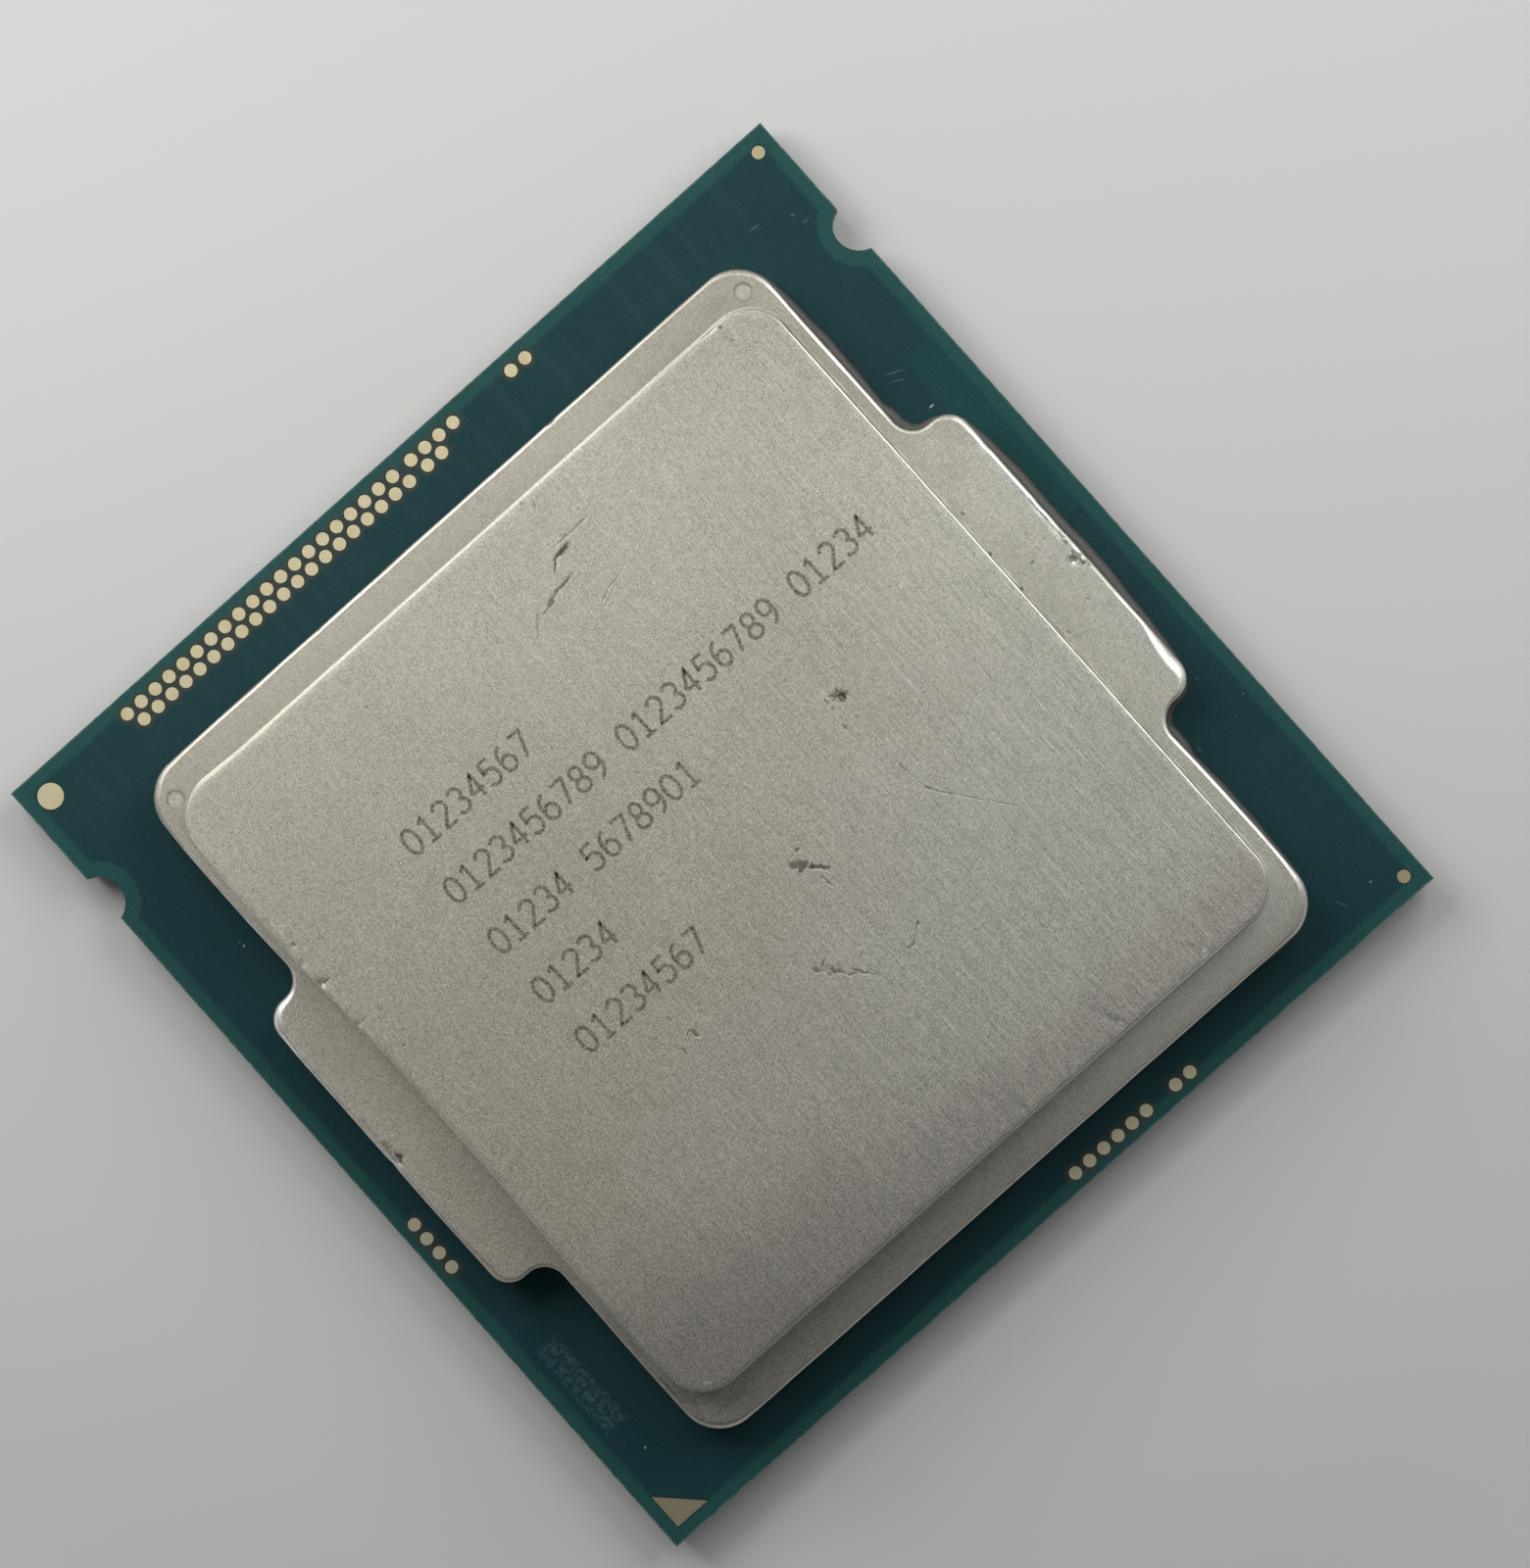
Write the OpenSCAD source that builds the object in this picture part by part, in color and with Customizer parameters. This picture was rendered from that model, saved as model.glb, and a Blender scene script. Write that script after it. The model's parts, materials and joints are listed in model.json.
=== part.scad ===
// Land-grid central processing unit: a square laminate board with a stepped metal lid bonded over the die.
// Millimetres. X runs across the board, Y from the front edge to the back, Z up out of the lid.
// The origin is the middle of the board, at the level of the capacitors' undersides, on which the part rests.

/* [Board] */
// Width of the board, from side to side
board_w = 37.5; // [37.2:0.1:45]
// Length of the board, from front to back
board_l = 37.5; // [37.2:0.1:45]
// Thickness of the board
board_t = 1.17; // [0.8:0.01:2]
// Radius of the key notches in the two side edges
notch_r = 1; // [0.8:0.05:1.5]
// How far a key notch reaches into the board
notch_depth = 0.75; // [0.4:0.05:0.8]
// From the back edge to the middle of the key notches
notch_from_back = 5.25; // [3:0.05:8]
// Depth of the mask openings over the pads on the board's top
mask_t = 0.03; // [0.02:0.005:0.06]
// Clearance between a pad and the edge of its mask opening
mask_gap = 0.03; // [0.01:0.005:0.06]

/* [Lid] */
// Width of the lid's raised flat top
top_w = 28.6; // [26:0.1:28.8]
// Length of the lid's raised flat top
top_l = 29.15; // [27:0.05:29.6]
// Corner radius of the raised top
top_r = 1.6; // [1:0.1:3]
// Rounding of the raised top's upper edge
top_edge_r = 0.08; // [0.04:0.01:0.15]
// Height of the lid, from its seat to its top
lid_h = 3.03; // [2.6:0.01:4]
// Thickness of the flange, from its seat to its upper face
flange_t = 1.55; // [1.2:0.05:1.9]
// How far the wall below the raised top spreads outward on its way down
wall_spread = 0.1; // [0.05:0.05:0.4]
// Radius in the corner between that wall and the flange
foot_r = 0.25; // [0.1:0.05:0.4]
// Flat ledge of the flange at the lid's two sides
side_ledge = 0.21; // [0:0.01:0.3]
// Flat ledge of the flange at the lid's front and back
end_ledge = 1.09; // [0.4:0.01:1.2]
// Rounding of the flange's upper edge
flange_edge_r = 0.15; // [0.05:0.01:0.25]
// Corner radius of the flange
flange_r = 1.6; // [1:0.1:3]
// How far each ear stands out from the lid's side
ear_reach = 2; // [1.9:0.05:2.2]
// Length of each ear along the lid's side
ear_l = 13.6; // [10:0.1:16]
// Radius of the ears' outer corners
ear_r = 0.9; // [0.5:0.05:0.95]
// Radius of the inner corners between an ear and the lid's side
ear_root_r = 0.9; // [0.5:0.05:0.95]
// How far the lid sits forward of the middle of the board
lid_forward = 0.65; // [0:0.05:0.8]
// Width of the lid's rim that faces the board
rim_w = 3; // [2.6:0.1:3.4]
// Corner radius of the cavity under the lid
cavity_r = 1.5; // [0.5:0.1:3]
// Diameter of the ejector marks on the flange's two back corners
dimple_d = 0.64; // [0.3:0.02:0.8]
// Depth of the ejector marks
dimple_depth = 0.03; // [0.02:0.01:0.1]
// From the flange's side to the middle of an ejector mark
dimple_from_side = 0.95; // [0.8:0.05:1.2]
// From the flange's back to the middle of an ejector mark
dimple_from_back = 1.2; // [0.9:0.05:1.4]

/* [Sealant] */
// Thickness of the sealant between the board and the lid's rim
bond_t = 0.15; // [0.08:0.01:0.3]
// Width of the sealant bead
bead_w = 2; // [1:0.1:2.3]
// How far the bead's outer edge lies inside the lid's outline
bead_inset = 0.2; // [0.1:0.05:0.4]
// How far pressed-out sealant climbs the lid's outer wall
climb = 0.15; // [0.05:0.01:0.3]
// Farthest that pressed-out sealant reaches past the lid's outline
squeeze_reach = 0.44; // [0.2:0.02:0.5]
// Width of the vent gap in the front of the bead
vent_w = 3; // [1:0.1:6]

/* [Die stack] */
// Clearance between the underfill and the lid's cavity at the two sides
die_side_gap = 0.3; // [0.1:0.05:6]
// Length of the silicon die
die_l = 8.2; // [6:0.1:20]
// Thickness of the silicon die
die_t = 0.76; // [0.5:0.01:0.9]
// Height of the bump layer between the board and the die
bump_h = 0.08; // [0.05:0.01:0.12]
// Thickness of the thermal paste between the die and the lid
paste_t = 0.06; // [0.03:0.01:0.2]
// How far the underfill spreads past the die on the board
underfill_spread = 0.9; // [0.3:0.1:1]
// How far the underfill climbs the die's sides
underfill_climb = 0.4; // [0.1:0.05:0.45]

/* [Pads on the top] */
// Thickness of a pad
pad_t = 0.02; // [0.01:0.005:0.02]
// Diameter of a probe pad
pad_d = 0.5; // [0.3:0.01:0.54]
// Spacing of neighbouring probe pads
pad_pitch = 0.7; // [0.65:0.01:0.72]
// From the back edge to the outer pad row
back_row_inset = 0.68; // [0.5:0.02:0.75]
// Between the outer and the inner back row
back_row_gap = 0.56; // [0.56:0.01:0.6]
// From the left edge to the first pad of the outer back row
back_row_start = 5.26; // [3:0.02:5.5]
// Pads in each long back row
back_row_count = 20; // [4:1:20]
// From the left edge to the first of the four pads beside the outer row
outer_four_start = 19.48; // [19.4:0.02:20]
// From the left edge to the first of the two pads beside the inner row
inner_pair_start = 19.82; // [19.76:0.02:21]
// From the left edge to the first of the two lone pads in line with the outer row
lone_pair_start = 24.48; // [23:0.02:30]
// From the left edge to the middle of the left pads
left_inset = 0.63; // [0.5:0.01:0.8]
// From the front edge to the lowest of the four left pads
left_start = 13.35; // [8:0.05:16]
// From the front edge to the middle of the front pads
front_inset = 0.6; // [0.5:0.01:0.8]
// From the left edge to the first of the six front pads
front_six_start = 20.35; // [10:0.05:21]
// From the left edge to the first of the two front pads beside them
front_pair_start = 25.3; // [25.2:0.05:32]
// Diameter of the large round mark in the back left corner
big_mark_d = 1; // [0.6:0.05:1.2]
// From the nearest edges to the middle of the large round mark
big_mark_inset = 1.06; // [0.9:0.02:1.4]
// Diameter of the small round marks in the two right corners
small_mark_d = 0.5; // [0.3:0.05:0.7]
// From the nearest edges to the middle of a small round mark
small_mark_inset = 0.78; // [0.6:0.02:1]
// Leg of the corner triangle that marks land one
triangle_leg = 1.48; // [0.8:0.02:2]
// From the nearest edges to the triangle's legs
triangle_inset = 0.53; // [0.3:0.01:0.8]

/* [Lands underneath] */
// Spacing of neighbouring lands
land_pitch = 0.9144; // [0.88:0.001:0.92]
// From the board's side edges to the middle of the outermost lands, at least
land_side_margin = 3; // [2:0.1:5]
// From the board's front and back edges to the middle of the outermost lands, at least
land_end_margin = 0.4; // [0.4:0.05:2]
// Columns left out in the middle, over the capacitors
gap_columns = 24; // [24:2:28]
// Rows left out in the middle, over the capacitors
gap_rows = 16; // [16:2:20]
// Steps of lands left out at three corners of the field
corner_steps = 5; // [1:1:7]
// Steps of lands left out at the corner of land one
land_one_steps = 6; // [1:1:8]
// Width of a land
land_w = 0.48; // [0.3:0.01:0.5]
// Length of a land
land_l = 0.68; // [0.5:0.01:0.7]
// Thickness of a land
land_t = 0.03; // [0.01:0.005:0.05]

/* [Capacitors underneath] */
// Height from the board's underside to the large capacitors' undersides
cap_h = 0.55; // [0.4:0.01:0.8]
// Length of a large capacitor
big_cap_l = 1.6; // [1.2:0.05:1.8]
// Width of a large capacitor
big_cap_w = 0.8; // [0.5:0.05:1]
// Length of a large capacitor's metal end
big_end_l = 0.35; // [0.2:0.01:0.5]
// Spacing of the large capacitors
big_cap_pitch = 1.75; // [1.6:0.05:1.8]
// Large capacitors in each of the two rows
big_cap_count = 9; // [3:2:9]
// From the middle of the board to a row of large capacitors
big_row_y = 5.2; // [4.6:0.1:5.4]
// Height from the board's underside to the small capacitors' undersides
small_cap_h = 0.5; // [0.3:0.01:0.53]
// Length of a small capacitor
small_cap_l = 1; // [0.8:0.05:1.2]
// Width of a small capacitor
small_cap_w = 0.5; // [0.3:0.05:0.6]
// Length of a small capacitor's metal end
small_end_l = 0.25; // [0.15:0.01:0.3]
// Spacing of the small capacitors
small_cap_pitch = 1.4; // [1.2:0.05:1.5]
// Small capacitors in each of the two rows
small_cap_count = 11; // [3:2:11]
// From the middle of the board to a row of small capacitors
small_row_y = 2.4; // [2:0.1:2.8]
// How far a capacitor's metal ends stand out from its ceramic all round
end_step = 0.02; // [0.01:0.005:0.04]
// Thickness of the solder under a capacitor's ends
solder_t = 0.03; // [0.02:0.005:0.06]
// How far the solder spreads past a capacitor's end
solder_toe = 0.18; // [0.1:0.01:0.25]
// How far the solder climbs a capacitor's end
solder_climb = 0.25; // [0.1:0.01:0.25]
// Diameter of the round test pads between the capacitors
test_pad_d = 0.4; // [0.2:0.02:0.6]
// Spacing of the test pads
test_pad_pitch = 1.1; // [0.9:0.05:1.2]
// Test pads in a row
test_pad_count = 13; // [3:2:13]
// Between the two rows of test pads
test_row_gap = 1.1; // [0.8:0.05:1.4]

/* [Hidden] */
$fn = 48;

board_z = cap_h;
board_top = board_z + board_t;
left_x = -board_w / 2;
right_x = board_w / 2;
front_y = -board_l / 2;
back_y = board_l / 2;
notch_x = board_w / 2 + notch_r - notch_depth;

wall_angle = atan(wall_spread / (lid_h - flange_t));
foot_run = foot_r / tan((90 + wall_angle) / 2);
step_run = wall_spread + foot_run + flange_edge_r;
lid_w = top_w + 2 * (step_run + side_ledge);
lid_l = top_l + 2 * (step_run + end_ledge);
ear_x = lid_w / 2 + ear_reach;
seat_z = board_top + bond_t;
cavity_w = lid_w - 2 * rim_w;
cavity_l = lid_l - 2 * rim_w;
cavity_depth = bump_h + die_t + paste_t - bond_t;
die_w = cavity_w - 2 * (die_side_gap + underfill_spread);

land_column_pitch = land_pitch * sin(60);
land_columns = 2 * floor((board_w / 2 - land_side_margin) / land_column_pitch + 0.5);
land_rows = 2 * floor((board_l / 2 - land_end_margin) / land_pitch + 0.25);
outer_row_y = back_y - back_row_inset;
inner_row_y = outer_row_y - back_row_gap;

// Sealant pressed out past the lid: side, place along that side, length and reach. Place and length are shares of
// half that side's length, from its middle, and the reach is a share of the farthest reach.
squeeze_outs = [
    ["right", 0.703, 0.532, 0.8],
    ["right", -0.709, 0.495, 0.7],
    ["right ear", 0.478, 0.882, 1],
    ["right ear", -0.375, 0.941, 0.8],
    ["left", -0.777, 0.272, 0.57],
    ["left ear", -0.2, 0.5, 0.32],
    ["back", 0.794, 0.347, 0.43],
    ["back", -0.64, 0.467, 0.36],
    ["back", 0.16, 0.734, 0.27],
    ["front", 0.847, 0.173, 0.52],
    ["front", -0.6, 0.6, 0.32],
    ["front", 0.4, 0.427, 0.23]
];
// Sealant in the inner corners of the right ear: side of Y, run along the lid's side, reach there, run along the
// ear. The runs are in radii of that corner, and the reach is a share of the farthest reach.
root_squeeze_outs = [
    [1, 1.44, 0.75, 1.39],
    [-1, 2.11, 0.68, 1.61]
];
// Straight stretches along the edge of one pressed-out stretch of sealant
bulge_steps = 14;
// How blunt the ends of a pressed-out stretch are: 1 is a plain half wave, less is blunter
bulge_bluntness = 0.6;
// How far shapes that are joined run into each other
join = 0.1;

// Shapes that several pieces share

module rounded_rect(w, l, r) {
    square([w, l - 2 * r], center = true);
    square([w - 2 * r, l], center = true);
    for (sx = [-1, 1], sy = [-1, 1])
        translate([sx * (w / 2 - r), sy * (l / 2 - r)])
            circle(r);
}

// Material in the corner between two rays from a point, up to an arc that touches both
module corner_fill(at, from, to, r) {
    half = (to - from) / 2;
    run = r / tan(half);
    middle = at + r / sin(half) * [cos(from + half), sin(from + half)];
    difference() {
        polygon([at, at + run * [cos(from), sin(from)], middle, at + run * [cos(to), sin(to)]]);
        translate(middle)
            circle(r);
    }
}

// A section drawn with X outward and Y up, run along a straight edge that lies at a distance on +X
module edge_run(reach, length) {
    translate([reach, length / 2, 0])
        rotate([90, 0, 0])
            linear_extrude(length)
                children();
}

// The same section turned round a corner of radius r, at a corner of a rectangle
module corner_turn(w, l, r) {
    translate([w / 2 - r, l / 2 - r, 0])
        rotate_extrude(angle = 90)
            translate([r, 0])
                children();
}

// The same section along the four sides and round the four corners of a rectangle
module around(w, l, r) {
    for (turn = [0, 180])
        rotate(turn) {
            edge_run(w / 2, l - 2 * r)
                children();
            rotate(90)
                edge_run(l / 2, w - 2 * r)
                    children();
            corner_turn(w, l, r)
                children();
            rotate(90)
                corner_turn(l, w, r)
                    children();
        }
}

module row_of(count, pitch) {
    for (i = [0 : count - 1])
        translate([i * pitch, 0, 0])
            children();
}

module centred_row(count, pitch) {
    translate([-(count - 1) / 2 * pitch, 0, 0])
        row_of(count, pitch)
            children();
}

// Places of the pads on the board's top, as modules that place whatever they are given

module outer_row() {
    translate([left_x + back_row_start, outer_row_y, 0])
        row_of(back_row_count, pad_pitch)
            children();
}

module inner_row() {
    translate([left_x + back_row_start + pad_pitch / 2, inner_row_y, 0])
        row_of(back_row_count, pad_pitch)
            children();
}

module outer_four() {
    translate([left_x + outer_four_start, outer_row_y, 0])
        row_of(4, pad_pitch)
            children();
}

module inner_pair() {
    translate([left_x + inner_pair_start, inner_row_y, 0])
        row_of(2, pad_pitch)
            children();
}

module lone_pair() {
    translate([left_x + lone_pair_start, outer_row_y, 0])
        row_of(2, pad_pitch)
            children();
}

module left_four() {
    translate([left_x + left_inset, front_y + left_start, 0])
        rotate(90)
            row_of(4, pad_pitch)
                children();
}

module front_six() {
    translate([left_x + front_six_start, front_y + front_inset, 0])
        row_of(6, pad_pitch)
            children();
}

module front_pair() {
    translate([left_x + front_pair_start, front_y + front_inset, 0])
        row_of(2, pad_pitch)
            children();
}

module big_mark() {
    translate([left_x + big_mark_inset, back_y - big_mark_inset, 0])
        children();
}

module small_marks() {
    for (sy = [-1, 1])
        translate([right_x - small_mark_inset, sy * (back_y - small_mark_inset), 0])
            children();
}

// The triangle's legs follow the board's left and front edges
module triangle(grow) {
    corner = [left_x + triangle_inset, front_y + triangle_inset];
    slant_grow = grow * (1 + sqrt(2));
    polygon([
        corner - [grow, grow],
        corner + [triangle_leg + slant_grow, -grow],
        corner + [-grow, triangle_leg + slant_grow]
    ]);
}

module pad(d) {
    translate([0, 0, board_top - mask_t])
        cylinder(h = pad_t, d = d);
}

module mask_opening(d) {
    translate([0, 0, board_top - mask_t])
        cylinder(h = 2 * mask_t, d = d + 2 * mask_gap);
}

// Board: laminate with a key notch in each side edge and mask openings over the pads

module all_probe_pads() {
    outer_row() children();
    inner_row() children();
    outer_four() children();
    inner_pair() children();
    lone_pair() children();
    left_four() children();
    front_six() children();
    front_pair() children();
}

module board() {
    color("#1e3d42")
        difference() {
            translate([left_x, front_y, board_z])
                cube([board_w, board_l, board_t]);
            for (sx = [-1, 1])
                translate([sx * notch_x, back_y - notch_from_back, board_z - board_t])
                    cylinder(h = 3 * board_t, r = notch_r);
            all_probe_pads()
                mask_opening(pad_d);
            big_mark()
                mask_opening(big_mark_d);
            small_marks()
                mask_opening(small_mark_d);
            translate([0, 0, board_top - mask_t])
                linear_extrude(2 * mask_t)
                    triangle(mask_gap);
        }
}

// Lid: a flange with two ears and a raised flat top, hollowed below for the die

// Outline of the flange and its ears, drawn in by an inset
module lid_outline(inset) {
    rounded_rect(lid_w - 2 * inset, lid_l - 2 * inset, flange_r - inset);
    rounded_rect(2 * (ear_x - inset), ear_l - 2 * inset, ear_r - inset);
    for (sx = [-1, 1], sy = [-1, 1])
        mirror([sx < 0 ? 1 : 0, 0])
            mirror([0, sy < 0 ? 1 : 0])
                translate([lid_w / 2, ear_l / 2])
                    difference() {
                        translate([-inset - join, -inset - join])
                            square(ear_root_r + inset + join);
                        translate([ear_root_r, ear_root_r])
                            circle(ear_root_r + inset);
                    }
}

// Quarter round on the flange's upper edge, drawn inward from the edge
module flange_edge() {
    intersection() {
        translate([-flange_edge_r, flange_t - flange_edge_r])
            circle(flange_edge_r);
        translate([-flange_edge_r, flange_t - flange_edge_r])
            square(flange_edge_r);
    }
}

module ear_edges() {
    for (turn = [0, 180])
        rotate(turn) {
            edge_run(ear_x, ear_l - 2 * ear_r)
                flange_edge();
            for (turn_y = [0, 1])
                mirror([0, turn_y, 0]) {
                    corner_turn(2 * ear_x, ear_l, ear_r)
                        flange_edge();
                    translate([(lid_w / 2 + ear_root_r + ear_x - ear_r) / 2, 0, 0])
                        rotate(90)
                            edge_run(ear_l / 2, ear_reach - ear_r - ear_root_r)
                                flange_edge();
                    translate([lid_w / 2 + ear_root_r, ear_l / 2 + ear_root_r, 0])
                        rotate(180)
                            rotate_extrude(angle = 90)
                                translate([ear_root_r, 0])
                                    mirror([1, 0])
                                        flange_edge();
                }
        }
}

// Wall of the raised top: its rounded upper edge, its slope and the round corner at its foot
module top_wall() {
    difference() {
        polygon([
            [-top_r / 2, 0],
            [-top_r / 2, lid_h],
            [0, lid_h],
            [wall_spread, flange_t],
            [wall_spread + foot_run, flange_t],
            [wall_spread + foot_run, 0]
        ]);
        corner_fill([0, lid_h], 180, 270 + wall_angle, top_edge_r);
    }
    corner_fill([wall_spread, flange_t], 0, 90 + wall_angle, foot_r);
}

module heat_spreader() {
    color("#a8a294")
        translate([0, -lid_forward, seat_z])
            difference() {
                union() {
                    linear_extrude(flange_t - flange_edge_r)
                        lid_outline(0);
                    linear_extrude(flange_t)
                        lid_outline(flange_edge_r);
                    around(lid_w, lid_l, flange_r)
                        flange_edge();
                    ear_edges();
                    linear_extrude(lid_h)
                        rounded_rect(top_w - top_r / 2, top_l - top_r / 2, 3 * top_r / 4);
                    around(top_w, top_l, top_r)
                        top_wall();
                }
                translate([0, 0, -cavity_depth])
                    linear_extrude(2 * cavity_depth)
                        rounded_rect(cavity_w, cavity_l, cavity_r);
                for (sx = [-1, 1])
                    translate([
                        sx * (lid_w / 2 - dimple_from_side),
                        lid_l / 2 - dimple_from_back,
                        flange_t - dimple_depth
                    ])
                        cylinder(h = lid_h, d = dimple_d);
            }
}

// Sealant: a bead under the lid's rim, with what was pressed out past the lid's outline

module bead() {
    difference() {
        lid_outline(bead_inset);
        rounded_rect(lid_w - 2 * (bead_inset + bead_w), lid_l - 2 * (bead_inset + bead_w), cavity_r);
        translate([-vent_w / 2, -lid_l])
            square([vent_w, lid_l]);
    }
}

// Blunt-ended bulge on a straight edge, with a strip that joins it to the bead behind
module bulge(length, reach) {
    edge = [
        for (i = [0 : bulge_steps])
            [reach * pow(sin(180 * i / bulge_steps), bulge_bluntness), (i / bulge_steps - 0.5) * length]
    ];
    polygon(concat([[-bead_inset, -length / 2]], edge, [[-bead_inset, length / 2]]));
}

// One pressed-out stretch on the side that lies at a distance on +X, half_side long from its middle to its end
module pressed_on(side, distance, half_side) {
    for (s = squeeze_outs)
        if (s[0] == side)
            translate([distance, s[1] * half_side])
                bulge(s[2] * half_side, s[3] * squeeze_reach);
}

module pressed_out() {
    pressed_on("right", lid_w / 2, lid_l / 2);
    pressed_on("right ear", ear_x, ear_l / 2);
    mirror([1, 0]) {
        pressed_on("left", lid_w / 2, lid_l / 2);
        pressed_on("left ear", ear_x, ear_l / 2);
    }
    mirror([1, -1])
        pressed_on("back", lid_l / 2, lid_w / 2);
    rotate(-90)
        pressed_on("front", lid_l / 2, lid_w / 2);
    for (s = root_squeeze_outs)
        mirror([0, s[0] < 0 ? 1 : 0])
            translate([lid_w / 2, ear_l / 2])
                polygon([
                    [-bead_inset, -bead_inset],
                    [-bead_inset, s[1] * ear_root_r],
                    [s[2] * squeeze_reach, s[1] * ear_root_r],
                    [s[3] * ear_root_r, -bead_inset]
                ]);
}

module lid_sealant() {
    color("#4a4640")
        translate([0, -lid_forward, board_top]) {
            linear_extrude(bond_t) {
                bead();
                pressed_out();
            }
            linear_extrude(bond_t + climb)
                difference() {
                    pressed_out();
                    lid_outline(0);
                }
        }
}

// Die and what holds it, hidden under the lid

module silicon_die() {
    color("#3a3d44")
        translate([-die_w / 2, -die_l / 2, board_top + bump_h])
            cube([die_w, die_l, die_t]);
}

module die_underfill() {
    color("#55585a")
        translate([0, 0, board_top]) {
            linear_extrude(bump_h)
                rounded_rect(die_w + 2 * underfill_spread, die_l + 2 * underfill_spread, underfill_spread);
            around(die_w, die_l, 0)
                polygon([[0, bump_h], [0, bump_h + underfill_climb], [underfill_spread, bump_h]]);
        }
}

module thermal_paste() {
    color("#b9bbbd")
        translate([-die_w / 2, -die_l / 2, board_top + bump_h + die_t])
            cube([die_w, die_l, paste_t]);
}

// Gold pads and marks on the board's top

module probe_pads_outer_row() {
    color("#d6c690")
        outer_row()
            pad(pad_d);
}

module probe_pads_inner_row() {
    color("#d6c690")
        inner_row()
            pad(pad_d);
}

module probe_pads_outer_four() {
    color("#d6c690")
        outer_four()
            pad(pad_d);
}

module probe_pads_inner_pair() {
    color("#d6c690")
        inner_pair()
            pad(pad_d);
}

module probe_pads_lone_pair() {
    color("#d6c690")
        lone_pair()
            pad(pad_d);
}

module left_edge_pads() {
    color("#d6c690")
        left_four()
            pad(pad_d);
}

module front_edge_six_pads() {
    color("#d6c690")
        front_six()
            pad(pad_d);
}

module front_edge_pair_pads() {
    color("#d6c690")
        front_pair()
            pad(pad_d);
}

module large_alignment_mark() {
    color("#d6c690")
        big_mark()
            pad(big_mark_d);
}

module small_alignment_marks() {
    color("#d6c690")
        small_marks()
            pad(small_mark_d);
}

module land_one_triangle() {
    color("#d6c690")
        translate([0, 0, board_top - mask_t])
            linear_extrude(pad_t)
                triangle(0);
}

// Lands: columns on a hexagonal pitch, every other column shifted by half a pitch

function land_x(column) = (column - (land_columns - 1) / 2) * land_column_pitch;

function land_y(column, row) = (row - (land_rows - 1) / 2 + (column % 2 == 0 ? -0.25 : 0.25)) * land_pitch;

// Steps in from the nearest corner of the field
function corner_distance(column, row) =
    min(column, land_columns - 1 - column) + min(row, land_rows - 1 - row);

function steps_left_out(column, row) =
    column < land_columns / 2 && row < land_rows / 2 ? land_one_steps : corner_steps;

function is_land(column, row) = corner_distance(column, row) >= steps_left_out(column, row);

// One land is a bar with round ends
module land() {
    translate([0, 0, board_z - land_t])
        linear_extrude(land_t) {
            square([land_w, land_l - land_w], center = true);
            for (sy = [-1, 1])
                translate([0, sy * (land_l - land_w) / 2])
                    circle(d = land_w);
        }
}

module lands(columns, rows) {
    color("#c9a95c")
        for (column = columns, row = rows)
            if (is_land(column, row))
                translate([land_x(column), land_y(column, row), 0])
                    land();
}

side_columns = (land_columns - gap_columns) / 2;
end_rows = (land_rows - gap_rows) / 2;
middle_columns = [side_columns : land_columns - side_columns - 1];

module lands_left() {
    lands([0 : side_columns - 1], [0 : land_rows - 1]);
}

module lands_right() {
    lands([land_columns - side_columns : land_columns - 1], [0 : land_rows - 1]);
}

module lands_back() {
    lands(middle_columns, [land_rows - end_rows : land_rows - 1]);
}

module lands_front() {
    lands(middle_columns, [0 : end_rows - 1]);
}

// Capacitors: ceramic bodies with metal ends, soldered to the board's underside

module two_rows(count, pitch, y) {
    for (sy = [-1, 1])
        translate([0, sy * y, 0])
            centred_row(count, pitch)
                children();
}

// The height leaves out the solder, which lies between the ends and the board
module cap_body(l, w, h, end_l) {
    translate([-w / 2 + end_step, -l / 2 + end_l, board_z - h + end_step])
        cube([w - 2 * end_step, l - 2 * end_l, h - solder_t - 2 * end_step]);
}

module cap_ends(l, w, h, end_l) {
    for (sy = [-1, 1])
        translate([-w / 2, sy > 0 ? l / 2 - end_l : -l / 2, board_z - h])
            cube([w, end_l, h - solder_t]);
}

// Solder under each end, with a slope up the end's face
module cap_solder(l, w, end_l) {
    for (turn = [0, 180])
        rotate(turn) {
            translate([-w / 2, l / 2 - end_l, board_z - solder_t])
                cube([w, end_l, solder_t]);
            translate([-w / 2, l / 2, board_z])
                rotate([90, 0, 90])
                    linear_extrude(w)
                        polygon([[0, 0], [0, -solder_climb], [solder_toe, -solder_t], [solder_toe, 0]]);
        }
}

module large_capacitor_bodies() {
    color("#9a7f5e")
        two_rows(big_cap_count, big_cap_pitch, big_row_y)
            cap_body(big_cap_l, big_cap_w, cap_h, big_end_l);
}

module large_capacitor_ends() {
    color("#c8c8c4")
        two_rows(big_cap_count, big_cap_pitch, big_row_y)
            cap_ends(big_cap_l, big_cap_w, cap_h, big_end_l);
}

module large_capacitor_solder() {
    color("#b4b6b6")
        two_rows(big_cap_count, big_cap_pitch, big_row_y)
            cap_solder(big_cap_l, big_cap_w, big_end_l);
}

module small_capacitor_bodies() {
    color("#8d765c")
        two_rows(small_cap_count, small_cap_pitch, small_row_y)
            cap_body(small_cap_l, small_cap_w, small_cap_h, small_end_l);
}

module small_capacitor_ends() {
    color("#c8c8c4")
        two_rows(small_cap_count, small_cap_pitch, small_row_y)
            cap_ends(small_cap_l, small_cap_w, small_cap_h, small_end_l);
}

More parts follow.
